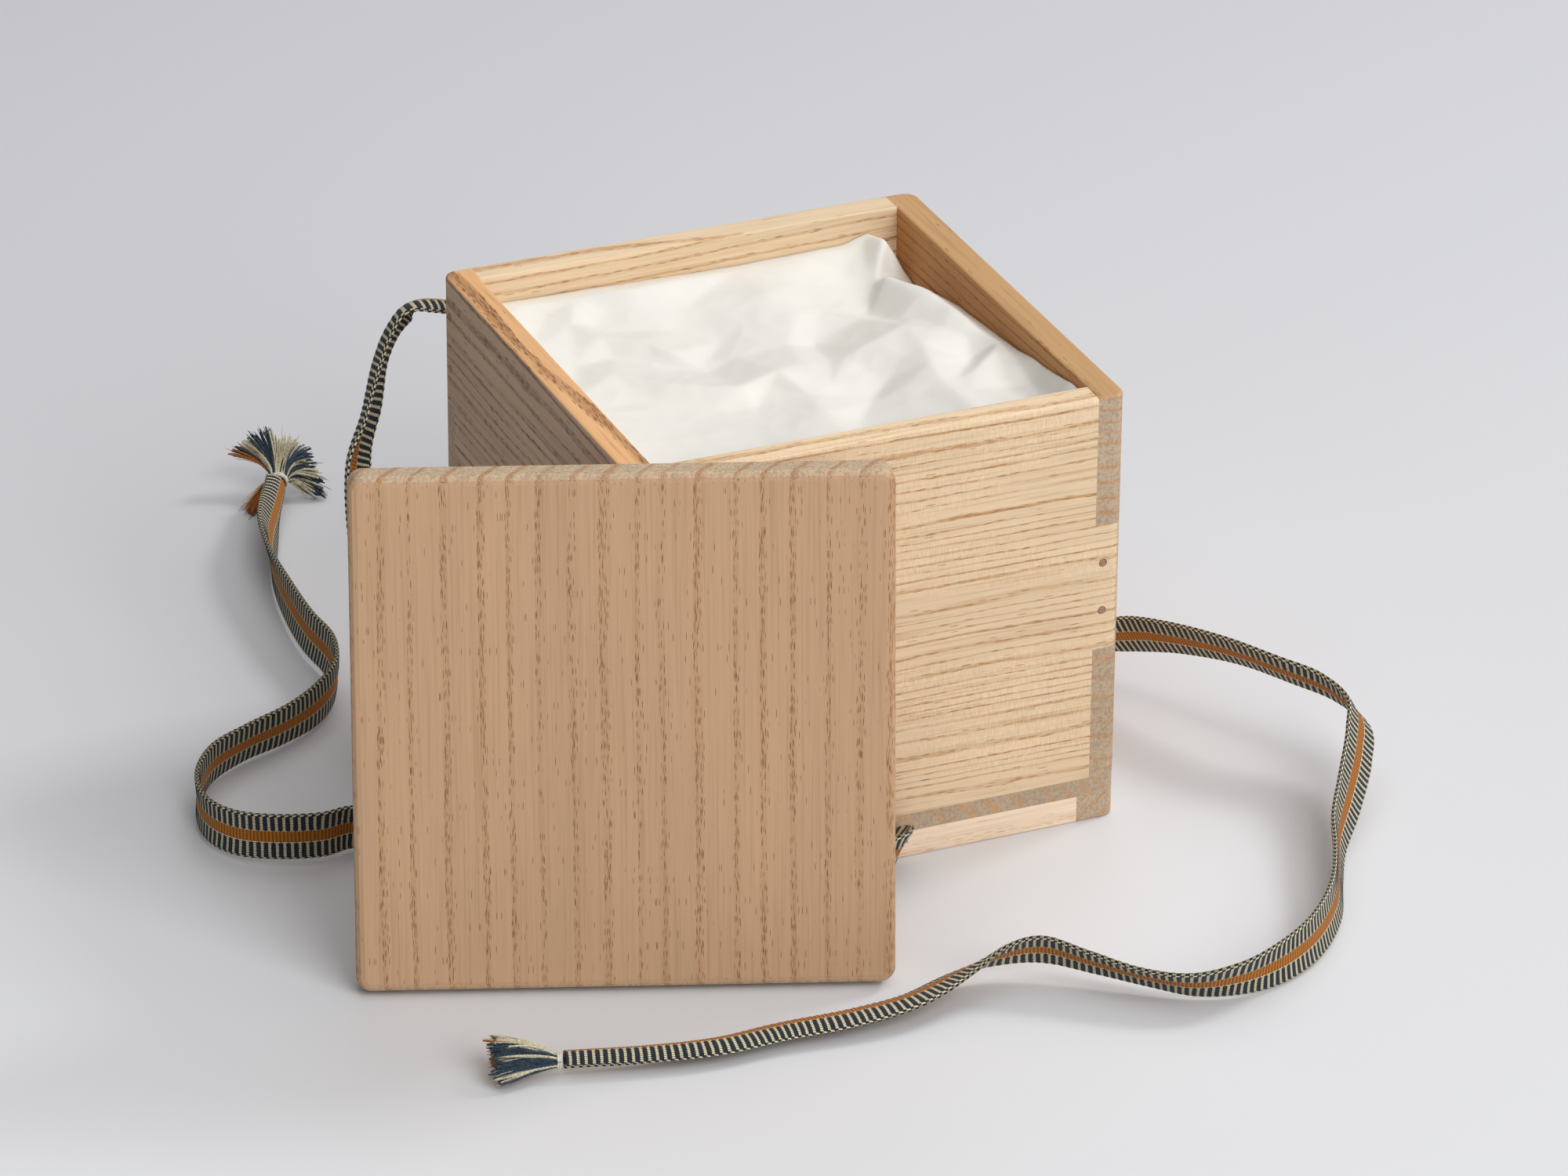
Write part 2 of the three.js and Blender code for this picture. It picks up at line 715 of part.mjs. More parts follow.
addPiece(boxGroup, 'side_wall_left', sideWall(-1), wallWood);
addPiece(boxGroup, 'side_wall_right', sideWall(1), wallWood);
addPiece(boxGroup, 'front_wall', endWall(-1), wallWood);
addPiece(boxGroup, 'back_wall', endWall(1), wallWood);
addPiece(boxGroup, 'bottom_board', bottomBoard(), bottomWood);
addPiece(boxGroup, 'foot_left', sideFoot(-1), wallWood);
addPiece(boxGroup, 'foot_right', sideFoot(1), wallWood);
addPiece(boxGroup, 'foot_front', endFoot(-1), wallWood);
addPiece(boxGroup, 'foot_back', endFoot(1), wallWood);
addPegs('peg_front', frontPegs);
addPegs('peg_back', backPegs);
addPegs('peg_left', leftPegs);
addPegs('peg_right', rightPegs);
addPegs('peg_foot', feetPegs);
addPiece(boxGroup, 'wrapping_paper', wrappingPaper(), paper);

addPiece(lidTilt, 'lid_board', lidBoard(), lidWood);
addPiece(lidTilt, 'lid_batten_left', sideBatten(-1), lidWood);
addPiece(lidTilt, 'lid_batten_right', sideBatten(1), lidWood);
addPiece(lidTilt, 'lid_batten_lower', endBatten(-1), lidWood);
addPiece(lidTilt, 'lid_batten_upper', endBatten(1), lidWood);
lidTilt.rotation.x = Math.PI / 2 - lidLean;
lidGroup.rotation.z = lidTurn;
lidGroup.position.copy(lidPlace());
lidGroup.add(lidTilt);

addPiece(cordGroup, 'cord_front_end', ribbon(frontEndRoute, upright), cordWeave);
addPiece(cordGroup, 'cord_under_front_back', ribbon(frontToBackRoute, upright), cordWeave);
addPiece(cordGroup, 'cord_loop', ribbon(loopRoute, loopReference), cordWeave);
addPiece(cordGroup, 'cord_under_left_right', ribbon(leftToRightRoute, upright), cordWeave);
addPiece(cordGroup, 'cord_right_end', ribbon(rightEndRoute, upright), cordWeave);
addPiece(cordGroup, 'tie_front_end', cordTie(frontEndRoute, raisedSlopeShare), tieThread);
addPiece(cordGroup, 'fringe_front_end', fringe(frontEndRoute, raisedSlopeShare, raisedFringeRadius,
  raisedFlatnessShare), cordWeave);
addPiece(cordGroup, 'tie_right_end', cordTie(rightEndRoute, lyingSlopeShare), tieThread);
addPiece(cordGroup, 'fringe_right_end', fringe(rightEndRoute, lyingSlopeShare, lyingFringeRadius,
  lyingFlatnessShare), cordWeave);

// The origin goes to the middle of the footprint of box and lid
const rigid = new THREE.Group();
rigid.add(boxGroup, lidGroup);
rigid.updateMatrixWorld(true);
const footprint = new THREE.Box3().setFromObject(rigid, true);
const middle = footprint.getCenter(new THREE.Vector3());
assembly.add(rigid, cordGroup);
assembly.position.set(-middle.x, -middle.y, 0);

const group = new THREE.Group();
group.add(assembly);
export default group;
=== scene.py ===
"""Dresses a pegged wooden keepsake box: woods, woven tie cord, tassels, paper wrap and studio."""
import math
import random

import bpy
import numpy as np
from mathutils import Matrix, Vector, geometry, noise


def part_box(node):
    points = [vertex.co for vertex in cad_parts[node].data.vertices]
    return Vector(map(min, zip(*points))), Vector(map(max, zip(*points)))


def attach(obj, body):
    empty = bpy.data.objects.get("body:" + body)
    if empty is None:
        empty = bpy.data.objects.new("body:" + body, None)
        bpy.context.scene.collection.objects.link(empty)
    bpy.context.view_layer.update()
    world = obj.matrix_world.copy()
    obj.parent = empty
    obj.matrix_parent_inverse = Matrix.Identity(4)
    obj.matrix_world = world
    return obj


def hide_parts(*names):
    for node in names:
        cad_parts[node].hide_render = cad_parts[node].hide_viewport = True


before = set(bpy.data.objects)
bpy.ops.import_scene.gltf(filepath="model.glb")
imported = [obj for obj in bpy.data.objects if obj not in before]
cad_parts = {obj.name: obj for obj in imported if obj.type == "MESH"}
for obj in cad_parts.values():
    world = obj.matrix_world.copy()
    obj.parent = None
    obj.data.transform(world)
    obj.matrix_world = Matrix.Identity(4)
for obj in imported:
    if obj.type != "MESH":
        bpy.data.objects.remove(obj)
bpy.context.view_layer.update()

MM = 0.001


# Places

def between(first, second, share):
    return first * (1 - share) + second * share


def middle(low, high):
    return (low + high) / 2


board_low, board_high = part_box("bottom_board")
BOX_CENTRE = Vector((middle(board_low.x, board_high.x), middle(board_low.y, board_high.y), 0))
RIM_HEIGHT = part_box("front_wall")[1].z

# The lid's own axes: across, up the board, and out of its face
LID_TURN = math.radians(-20.4)
LID_LEAN = math.radians(11.09)
LID_AXES = Matrix.Rotation(LID_TURN, 3, "Z") @ Matrix.Rotation(math.pi / 2 - LID_LEAN, 3, "X")


# Camera, in metres from the middle of the box's base

CAMERA_OFFSET = Vector((-0.85198, -1.97939, 1.16804))
CAMERA_YAW = math.radians(23.341)
CAMERA_PITCH = math.radians(27.2825)
CAMERA_ROLL = math.radians(0.3902)
CAMERA_LENS = 179.04


def add_camera():
    data = bpy.data.cameras.new("camera")
    data.lens = CAMERA_LENS
    camera = bpy.data.objects.new("camera", data)
    turn = (
        Matrix.Rotation(-CAMERA_YAW, 4, "Z")
        @ Matrix.Rotation(math.pi / 2 - CAMERA_PITCH, 4, "X")
        @ Matrix.Rotation(CAMERA_ROLL, 4, "Z")
    )
    camera.matrix_world = Matrix.Translation(BOX_CENTRE + CAMERA_OFFSET) @ turn
    bpy.context.scene.collection.objects.link(camera)
    bpy.context.scene.camera = camera


# Node trees

class Shader:
    """A material and short ways to add nodes to it. A value is a number, a tuple or a socket."""

    def __init__(self, name):
        self.material = bpy.data.materials.new(name)
        self.material.use_nodes = True
        self.tree = self.material.node_tree
        self.surface = self.tree.nodes["Principled BSDF"]

    def put(self, socket, value):
        if isinstance(value, bpy.types.NodeSocket):
            self.tree.links.new(value, socket)
        else:
            socket.default_value = value

    def node(self, kind, inputs=(), **settings):
        node = self.tree.nodes.new("ShaderNode" + kind)
        for name, value in settings.items():
            setattr(node, name, value)
        for key, value in dict(inputs).items():
            self.put(node.inputs[key], value)
        return node

    def places(self):
        return self.node("TexCoord").outputs

    def split(self, vector):
        return self.node("SeparateXYZ", {"Vector": vector}).outputs

    def math(self, operation, first, second=0.0, third=0.0):
        inputs = {0: first, 1: second, 2: third}
        return self.node("Math", inputs, operation=operation).outputs[0]

    def add(self, first, second):
        return self.math("ADD", first, second)

    def times(self, first, second):
        return self.math("MULTIPLY", first, second)

    def add_times(self, base, value, amount):
        """The base plus the value times the amount."""
        return self.math("MULTIPLY_ADD", value, amount, base)

    def sway(self, base, value, amount):
        """The base moved up and down by a value that lies about 0.5."""
        return self.add_times(base, self.add(value, -0.5), amount)

    def sine(self, value, turns, start=0.0):
        """A sine wave that turns so many times while the value goes from 0 to 1."""
        return self.math("SINE", self.add_times(start, value, 2 * math.pi * turns))

    def ramp(self, value, low, high, to_low=0.0, to_high=1.0):
        """A smooth step of the value from low to high, mapped to to_low..to_high."""
        inputs = {"Value": value, "From Min": low, "From Max": high, "To Min": to_low, "To Max": to_high}
        node = self.node("MapRange", inputs, interpolation_type="SMOOTHSTEP")
        return node.outputs["Result"]

    def mix(self, factor, first, second, blend="MIX"):
        node = self.node("Mix", data_type="RGBA", blend_type=blend, clamp_factor=True)
        for key, value in (("Factor_Float", factor), ("A_Color", first), ("B_Color", second)):
            socket = next(s for s in node.inputs if s.identifier == key)
            self.put(socket, value)
        return next(s for s in node.outputs if s.identifier == "Result_Color")

    def stretched(self, vector, scale, offset):
        inputs = {"Vector": vector, "Scale": scale, "Location": offset}
        return self.node("Mapping", inputs).outputs["Vector"]

    def noise(self, vector, scale, offset, detail, roughness=0.5):
        """Noise of the vector stretched by a scale for each axis, about 0.5."""
        stretched = self.stretched(vector, scale, offset)
        inputs = {"Vector": stretched, "Scale": 1.0, "Detail": detail, "Roughness": roughness}
        return self.node("TexNoise", inputs).outputs[0]

    def grains(self, vector, scale, offset):
        """Scattered grains: the distance from the nearest one, and a random number for each."""
        inputs = {"Vector": self.stretched(vector, scale, offset), "Scale": 1.0}
        outputs = self.node("TexVoronoi", inputs).outputs
        parts = self.node("SeparateColor", {"Color": outputs["Color"]}).outputs
        return outputs["Distance"], parts["Red"]

    def bump(self, height, distance, strength):
        inputs = {"Height": height, "Distance": distance, "Strength": strength}
        return self.node("Bump", inputs).outputs["Normal"]

    def finish(self, color, roughness, specular, normal=None, sheen=0.0):
        looks = {"Base Color": color, "Roughness": roughness, "Specular IOR Level": specular}
        looks["Sheen Weight"] = sheen
        if normal is not None:
            looks["Normal"] = normal
        for name, value in looks.items():
            self.put(self.surface.inputs[name], value)
        return self.material


def rgb(red, green, blue):
    """A colour given as it shows on a screen, from 0 to 255."""
    def linear(value):
        value /= 255
        return value / 12.92 if value <= 0.04045 else ((value + 0.055) / 1.055) ** 2.4
    return (linear(red), linear(green), linear(blue), 1.0)


# Wood

# Noises of the wood: how often each changes along the grain, across the rings and the third way,
# for each millimetre, where it starts, and how fine and rough it is
WOOD_NOISES = {
    "wave": ((0.009, 0.03, 0.03), (0, 0, 0), 1.0),
    "ripple": ((0.05, 0.25, 0.25), (0, 0, 0), 2.0),
    "jag": ((0.3, 1.2, 1.2), (0, 0, 0), 3.0, 0.6),
    "crowd": ((0.0, 0.06, 0.0), (0, 0, 0), 1.0),
    "patch": ((0.04, 0.4, 0.4), (7, 3, 1), 2.0),
    "mottle": ((0.015, 0.05, 0.05), (31, 7, 3), 2.0),
    "fibre": ((0.06, 3.2, 3.2), (5, 11, 17), 3.0, 0.7),
    "streak": ((0.015, 1.1, 1.1), (15, 1, 7), 3.0, 0.6),
    "fleck": ((2.0, 0.22, 1.4), (3, 23, 29), 1.0),
}
SEED_STEPS = (137.0, 61.0, 89.0)
PORE_PLACES = (1, 2, 9)
DOT_PLACES = (4, 1, 3)
DOTS_PER_MM = 2.2

# Smooth steps: the values between which a look comes up
END_FACE_STEP = (0.45, 0.85)
TOP_FACE_STEP = (0.5, 0.9)
BAND_STEP = (0.0, 0.05)
PATCH_STEP = (0.28, 0.6, 0.45, 1.0)
HEAVY_STEP = (0.75, 1.0)
PORE_STEP = (0.46, 0.3)
DOT_STEP = (0.5, 0.3)
WARM_STREAK_STEP = (0.5, 0.75)
WARM_FIBRE_STEP = (0.52, 0.8)
END_STREAK_STEP = (0.35, 0.7)
FLECK_STEP = (0.4, 0.6)

# The rings' jags in millimetres, shares of their bands, and how much each noise changes the tone
RING_JAG = 0.55
BAND_FADE_SHARE = 0.4
BAND_PORES_SHARE = 0.95
END_BAND_SHARE = 0.4
END_SHADE = rgb(176, 154, 132)
NOISE_TONES = {"mottle": 0.16, "fibre": 0.32, "streak": -0.2}
RING_TONE = 0.05

# How a board looks where its own table says nothing else
PLAIN_LOOKS = {
    "pale": rgb(240, 213, 177),
    "ring": rgb(198, 146, 88),
    "pore": rgb(166, 110, 58),
    "end": rgb(202, 178, 150),
    "end_pore": rgb(204, 142, 80),
    # Multiplies the top faces; on the side walls it sets them apart from the painted shade on the sides
    "top": (1.0, 1.0, 1.0, 1.0),
    "line_strength": 0.8,
    "line_width": 0.34,
    "wave": 2.2,
    "crowding": 7.0,
    "pore_amount": 0.7,
    "pore_length": 4.5,
    "pore_width": 0.34,
    "stray_pores": 0.02,
    "heavy_rings": 0.6,
    "strands": 0.7,
    "fleck": 0.0,
    "turn": Matrix.Identity(3),
}


class Wood:
    """What one board shows: the way its grain runs and how its growth rings look."""

    def __init__(self, grain, rings, spacing, **looks):
        self.grain = Vector(grain).normalized()
        self.rings = Vector(rings).normalized()
        self.spacing = spacing
        self.looks = {**PLAIN_LOOKS, **looks}

    def axes(self):
        """Rows that take a place to along the grain, across the rings and the third way."""
        turn = self.looks["turn"]
        grain = turn @ self.grain
        rings = turn @ self.rings
        rings = (rings - grain * rings.dot(grain)).normalized()
        return Matrix((grain, rings, grain.cross(rings)))


class WoodShader(Shader):
    """Straight-grained wood with wavy growth rings, rows of open pores, fibres and grey end grain."""

    def __init__(self, name, wood):
        super().__init__(name)
        self.wood = wood
        self.looks = wood.looks
        places = self.places()
        turn = wood.axes().to_euler()
        inputs = {
            "Vector": places["Object"],
            "Rotation": turn,
            "Scale": (1 / MM, 1 / MM, 1 / MM),
            "Location": tuple(step * self.looks["seed"] for step in SEED_STEPS),
        }
        self.grain_mm = self.node("Mapping", inputs).outputs["Vector"]
        self.noises = {key: self.noise(self.grain_mm, *kind) for key, kind in WOOD_NOISES.items()}
        inputs = {"Vector": places["Normal"], "Rotation": turn}
        facing = self.node("Mapping", inputs, vector_type="NORMAL").outputs["Vector"]
        along = self.math("ABSOLUTE", self.split(facing)["X"])
        self.end_face = self.ramp(along, *END_FACE_STEP)
        self.top_face = self.ramp(self.split(places["Normal"])["Z"], *TOP_FACE_STEP)
        self.ring, self.each_ring = self.rings()
        self.band = self.porous_band()
        self.patched_band = self.times(self.band, self.ramp(self.noises["patch"], *PATCH_STEP))
        self.pores = self.open_pores()

    def rings(self):
        """How far through its growth ring a place is, and a random number for each ring."""
        wave = self.looks["wave"]
        bends = {"wave": 2 * wave, "ripple": wave / 2, "jag": RING_JAG}
        bends["crowd"] = 2 * self.looks["crowding"]
        depth = self.split(self.grain_mm)["Y"]
        for key, amount in bends.items():
            depth = self.sway(depth, self.noises[key], amount)
        count = self.times(depth, 1 / self.wood.spacing)
        inputs = {"W": self.math("FLOOR", count)}
        chance = self.node("TexWhiteNoise", inputs, noise_dimensions="1D")
        return self.math("FRACT", count), chance.outputs["Value"]

    def porous_band(self):
        """The dark band that each ring starts with, which fades out."""
        width = self.looks["line_width"]
        faded = self.ramp(self.ring, BAND_FADE_SHARE * width, width)
        band = self.times(self.math("SUBTRACT", 1.0, faded), self.ramp(self.ring, *BAND_STEP))
        return self.times(band, self.add_times(0.5, self.each_ring, 0.5))

    def open_pores(self):
        """Short dark dashes, crowded in the bands."""
        across = 1 / self.looks["pore_width"]
        scale = (1 / self.looks["pore_length"], across, across)
        distance, chance = self.grains(self.grain_mm, scale, PORE_PLACES)
        crowded = self.add_times(self.looks["stray_pores"], self.patched_band, BAND_PORES_SHARE)
        return self.times(self.ramp(distance, *PORE_STEP), self.math("LESS_THAN", chance, crowded))

    def side_color(self):
        """Pale wood with warm strands, the bands and the pores."""
        looks = self.looks
        warm = self.times(self.ramp(self.noises["streak"], *WARM_STREAK_STEP), looks["strands"])
        fine = self.ramp(self.noises["fibre"], *WARM_FIBRE_STEP)
        warm = self.add_times(warm, fine, 0.6 * looks["strands"])
        color = self.mix(self.times(warm, 0.5), looks["pale"], looks["ring"])
        heavy = self.times(self.ramp(self.each_ring, *HEAVY_STEP), looks["heavy_rings"])
        ring_color = self.mix(heavy, looks["ring"], looks["pore"])
        color = self.mix(self.times(self.patched_band, looks["line_strength"]), color, ring_color)
        return self.mix(self.times(self.pores, looks["pore_amount"]), color, looks["pore"])

    def end_color(self):
        """Grey end grain, with rows of dots along the bands."""
        pore = self.looks["end_pore"]
        streak = self.ramp(self.noises["streak"], *END_STREAK_STEP)
        color = self.mix(streak, self.looks["end"], END_SHADE)
        color = self.mix(self.times(self.band, END_BAND_SHARE), color, pore)
        dots = self.grains(self.grain_mm, (0.0, DOTS_PER_MM, DOTS_PER_MM), DOT_PLACES)[0]
        return self.mix(self.times(self.band, self.ramp(dots, *DOT_STEP)), color, pore)

    def tone(self):
        """How light a place is beside the rest of the board, about 1, as a grey."""
        tone = 1.0
        for key, amount in NOISE_TONES.items():
            tone = self.sway(tone, self.noises[key], amount)
        flecked = self.ramp(self.noises["mottle"], *FLECK_STEP)
        fleck = self.times(self.add(self.noises["fleck"], -0.5), flecked)
        tone = self.add_times(tone, fleck, self.looks["fleck"])
        tone = self.sway(tone, self.each_ring, RING_TONE)
        inputs = {"Red": tone, "Green": tone, "Blue": tone}
        return self.node("CombineColor", inputs).outputs["Color"]


def wood_material(name, wood):
    shader = WoodShader(name, wood)
    fibre = shader.noises["fibre"]
    color = shader.mix(shader.end_face, shader.side_color(), shader.end_color())
    # Top faces take the board's "top" colour, which on the side walls sets them apart from the painted
    # shade on the sides.
    lit = shader.mix(1.0, color, wood.looks["top"], "MULTIPLY")
    color = shader.mix(shader.top_face, color, lit)
    color = shader.mix(1.0, color, shader.tone(), "MULTIPLY")
    height = shader.add_times(shader.times(fibre, 0.6), shader.pores, -1.0)
    normal = shader.bump(height, 0.1 * MM, 0.7)
    rough = shader.add_times(0.5, fibre, 0.16)
    return shader.finish(color, rough, 0.3, normal)


# Painted shade: darker than the front wall's same wood, for the outer face turned from the lamps; "top"
# lifts the top faces.
LEFT_WALL_PAINTED_SHADE_TONES = {
    "pale": rgb(212, 182, 153),
    "ring": rgb(150, 112, 82),
    "pore": rgb(104, 72, 50),
    "line_strength": 0.6,
    "line_width": 0.5,
    "pore_amount": 0.9,
    "top": (1.3, 1.03, 0.7, 1.0),
}
# Painted shade: darker and warmer than the front wall's wood, for the inner face turned from the lamps;
# "top" sets the top faces apart.
RIGHT_WALL_PAINTED_SHADE_TONES = {
    "pale": rgb(206, 150, 94),
    "ring": rgb(164, 108, 60),
    "pore": rgb(132, 86, 46),
    "top": (0.98, 1.16, 1.42, 1.0),
}
BOARD_LOOKS = {"line_width": 0.5, "end": rgb(194, 172, 146), "end_pore": rgb(214, 160, 104)}
FOOT_LOOKS = {"pale": rgb(250, 226, 200), "line_strength": 0.25, "pore_amount": 0.3, "strands": 0.4}
WOODS = {
    "front_wall": Wood((1, 0.015, -0.01), (0, 0.28, 1), 3.2, seed=1, fleck=0.35),
    "back_wall": Wood((1, -0.02, 0.02), (0, -0.3, 1), 4.0, seed=2),
    "side_wall_left": Wood((0, 1, 0.02), (-0.25, 0, 1), 4.4, seed=3, **LEFT_WALL_PAINTED_SHADE_TONES),
    "side_wall_right": Wood((0, 1, -0.015), (0.2, 0, 1), 5.0, seed=4, **RIGHT_WALL_PAINTED_SHADE_TONES),
    "bottom_board": Wood((0, 1, 0), (1, 0, 0.8), 6.5, seed=5, **BOARD_LOOKS),
    "foot_front": Wood((1, 0, 0.01), (0, 1, 0.5), 4.0, seed=6, **FOOT_LOOKS),
    "foot_back": Wood((1, 0, 0), (0, -1, 0.6), 5.0, seed=7),
    "foot_left": Wood((0, 1, 0), (0.8, 0, 1), 4.0, seed=8),
    "foot_right": Wood((0, 1, 0), (-0.7, 0, 1), 4.0, seed=9),
}
LID_LOOKS = {
    "turn": LID_AXES,
    "pale": rgb(201, 163, 128),
    "ring": rgb(176, 128, 82),
    "pore": rgb(132, 82, 42),
    "end": rgb(212, 186, 152),
    "end_pore": rgb(176, 112, 60),
    "line_strength": 0.3,
    "line_width": 0.3,
    "wave": 1.2,
    "crowding": 4.0,
    "pore_amount": 0.85,
    "pore_length": 3.4,
    "pore_width": 0.24,
    "stray_pores": 0.03,
    "heavy_rings": 0.0,
    "strands": 0.6,
}
WOODS["lid_board"] = Wood((0, 1, 0), (1, 0, 0.45), 8.5, seed=11, **LID_LOOKS)
for seed, side in ((12, "left"), (13, "right")):
    WOODS["lid_batten_" + side] = Wood((0, 1, 0), (1, 0, 0.5), 5.0, seed=seed, **LID_LOOKS)
for seed, side in ((14, "lower"), (15, "upper")):
    WOODS["lid_batten_" + side] = Wood((1, 0, 0), (0, 1, 0.5), 5.0, seed=seed, **LID_LOOKS)
PEG_WOOD = Wood(
    (1, 0.2, 0.1), (0, 1, 1), 1.0, seed=20,
    pale=rgb(172, 138, 112), ring=rgb(150, 114, 88), end=rgb(160, 124, 98),
)


def paint(node, material):
    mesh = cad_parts[node].data
    mesh.materials.clear()
    mesh.materials.append(material)


def dress_woods():
    for node, wood in WOODS.items():
        paint(node, wood_material(node + "_wood", wood))
    peg = wood_material("peg_wood", PEG_WOOD)
    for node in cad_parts:
        if node.startswith("peg_"):
            paint(node, peg)


# Cord routes

# Places in millimetres from the middle of the box's base, with the lean of the cord's width away
# from upright in degrees, to the right of the way it runs. At 90 it lies flat.
FRONT_END_ROUTE = [
    (0, -79.1, 7, -90), (0, -83, 7.6, -78), (2, -87.5, 10, -52), (1, -93, 11.5, -24),
    (-7, -97, 11, -8), (-22, -96, 9.5, -4), (-52, -93.5, 8.5, -5), (-84, -91, 8.5, -6),
    (-112, -65.5, 8.5, -10), (-129.5, -34, 8.5, -8), (-145, -12.5, 9, -2), (-157, -14.5, 10, 3),
    (-169, -11, 10, 4), (-180, -3, 9.5, 5), (-185, 9, 9, 2), (-182.5, 27, 8.5, 0),
    (-172.5, 43, 8.5, 6), (-158.5, 52, 8.5, 12), (-142, 59, 8.5, 8), (-128.3, 68, 8.5, 0),
    (-117.5, 81.5, 8.5, 4), (-113.2, 97, 8.5, 10), (-113.8, 116, 8.5, 10), (-112.4, 138, 8.5, 6),
    (-109, 163, 8.5, -6), (-103, 184, 8.3, -22), (-95, 202, 8, -30), (-87, 219, 8.2, -34),
]
RIGHT_END_ROUTE = [
    (79.4, 0, 7, 90), (85, 0, 7.2, 86), (93, 1.5, 9.3, 70), (102, 2.5, 12.6, 48),
    (110, 0, 16.7, 30), (117, -9, 21.2, 22), (124, -23, 25.7, 26), (135.5, -45, 29.2, 33),
    (145, -63, 29.3, 34), (154.5, -76, 27.2, 34), (158, -89, 24, 34), (152.5, -101, 20, 32),
    (140.8, -118, 14, 26), (129.2, -134, 10.5, 16), (121.5, -149, 9, 10), (111.3, -167.5, 8.5, 12),
    (96, -184.5, 8.5, 10), (80, -194, 8.3, 0), (65, -197.2, 8, -20), (51, -194.3, 7.4, -36),
    (39, -186, 8.2, -42), (27, -175, 10, -36), (15, -165, 11.8, -30), (3, -162, 10.6, -40),
    (-10.5, -163.5, 8.2, -60), (-29, -168, 6, -70), (-49, -168.5, 4.8, -73), (-70, -167, 4.2, -72),
    (-91, -168, 4.2, -70), (-112, -165.5, 4.4, -66), (-135.5, -160, 4.8, -62),
]
LOOP_ROUTE = [
    (-79.4, 0, 7, 0), (-91, 0, 7.4, 2), (-107.6, 5, 17, 8), (-117, 22, 34, 18),
    (-117.6, 50, 55, 24), (-110.4, 78, 85, 20), (-103, 85, 99, 28), (-98, 89, 113, 34),
    (-93, 90, 123, 24), (-87, 90, 129, 6), (-79, 90, 129, -8), (-62, 90, 121, -14),
    (-44, 89, 101, -12), (-24, 88, 70, -8), (-7, 91, 36, 0), (-1, 96, 19, 0),
    (0, 93.5, 10, 0), (0, 87, 7.2, 0), (0, 79.1, 7, 0),
]
FRONT_TO_BACK_ROUTE = [(0, -78.8, 7, 90), (0, -40, 7.4, 90), (0, 40, 7.4, 90), (0, 78.8, 7, 90)]
LEFT_TO_RIGHT_ROUTE = [
    (-79.1, 0, 7, 90), (-62, 0, 6.6, 90), (-30, 0, 5.1, 90),
    (30, 0, 5.1, 90), (62, 0, 6.6, 90), (79.1, 0, 7, 90),
]
UPRIGHT = np.array((0.0, 0.0, 1.0))
LOOP_REFERENCE = np.array((1.0, 1.0, 0.0)) / math.sqrt(2)
ROUTE_STEPS = 40


def unit(vectors):
    return vectors / np.linalg.norm(vectors, axis=-1, keepdims=True)


def run_along(points):
    """How far along the line each point lies."""
    steps = np.linalg.norm(np.diff(points, axis=0), axis=1)
    return np.concatenate([[0.0], np.cumsum(steps)])


def smooth_route(route):
    """A centripetal curve through the route's points, with their leans, in millimetres."""
    points = np.array(route, float)
    points = np.vstack([2 * points[0] - points[1], points, 2 * points[-1] - points[-2]])
    line = []
    for before, start, end, after in zip(points, points[1:], points[2:], points[3:]):
        knots = [0.0]
        for a, b in ((before, start), (start, end), (end, after)):
            knots.append(knots[-1] + math.sqrt(np.linalg.norm(b[:3] - a[:3])))
        t0, t1, t2, t3 = knots
        for t in np.linspace(t1, t2, ROUTE_STEPS, endpoint=False):
            a1 = ((t1 - t) * before + (t - t0) * start) / (t1 - t0)
            a2 = ((t2 - t) * start + (t - t1) * end) / (t2 - t1)
            a3 = ((t3 - t) * end + (t - t2) * after) / (t3 - t2)
            b1 = ((t2 - t) * a1 + (t - t0) * a2) / (t2 - t0)
            b2 = ((t3 - t) * a2 + (t - t1) * a3) / (t3 - t1)
            line.append(((t2 - t) * b1 + (t - t1) * b2) / (t2 - t1))
    line.append(points[-2])
    return np.array(line)


def to_frame(points):
    """Metres in the frame, from millimetres about the middle of the box's base."""
    return points * MM + np.array(BOX_CENTRE)


# Cord

CORD_WIDTH = 15.0
BAR_PERIOD = 2.3
RINGS_PER_BAR = 6
NAVY_SHARE = 0.6
STRIPE_SHARE = 0.235
BORDER_SHARE = 0.285
SELVAGE_SHARE = 0.9
STITCH_MIDDLE_SHARE = middle(SELVAGE_SHARE, 1.0) + 0.01
FACE_SHARES = (0.0, 0.12, 0.225, 0.26, 0.295, 0.44, 0.6, 0.74, 0.85)
FACE_THICKNESS = 1.2
NAVY_RIB = 0.2
CREAM_RIB = 0.04
STRIPE_RIB = 0.07
SELVAGE_RADIUS = 0.68
SELVAGE_ANGLES = (78, 45, 15, -15, -45, -78)
SELVAGE_STEP = 0.12
CUPPING = 0.12
FLOOR_GAP = 0.1

# Pinches: where one starts and ends as shares of the length, how wide the strip is there as a
# share of its width, how far its edges roll round and how far it turns, in radians
RAISED_PINCHES = [(0.92, 1.0, 0.86, 1.5, -0.2)]
LYING_PINCHES = [(0.72, 0.86, 0.95, 1.1, 0.0), (0.86, 1.0, 0.82, 1.5, -0.2)]
LOOP_PINCHES = [(0.06, 0.3, 1.0, 0.95, 0.4), (0.6, 0.9, 1.0, CUPPING, -0.4)]


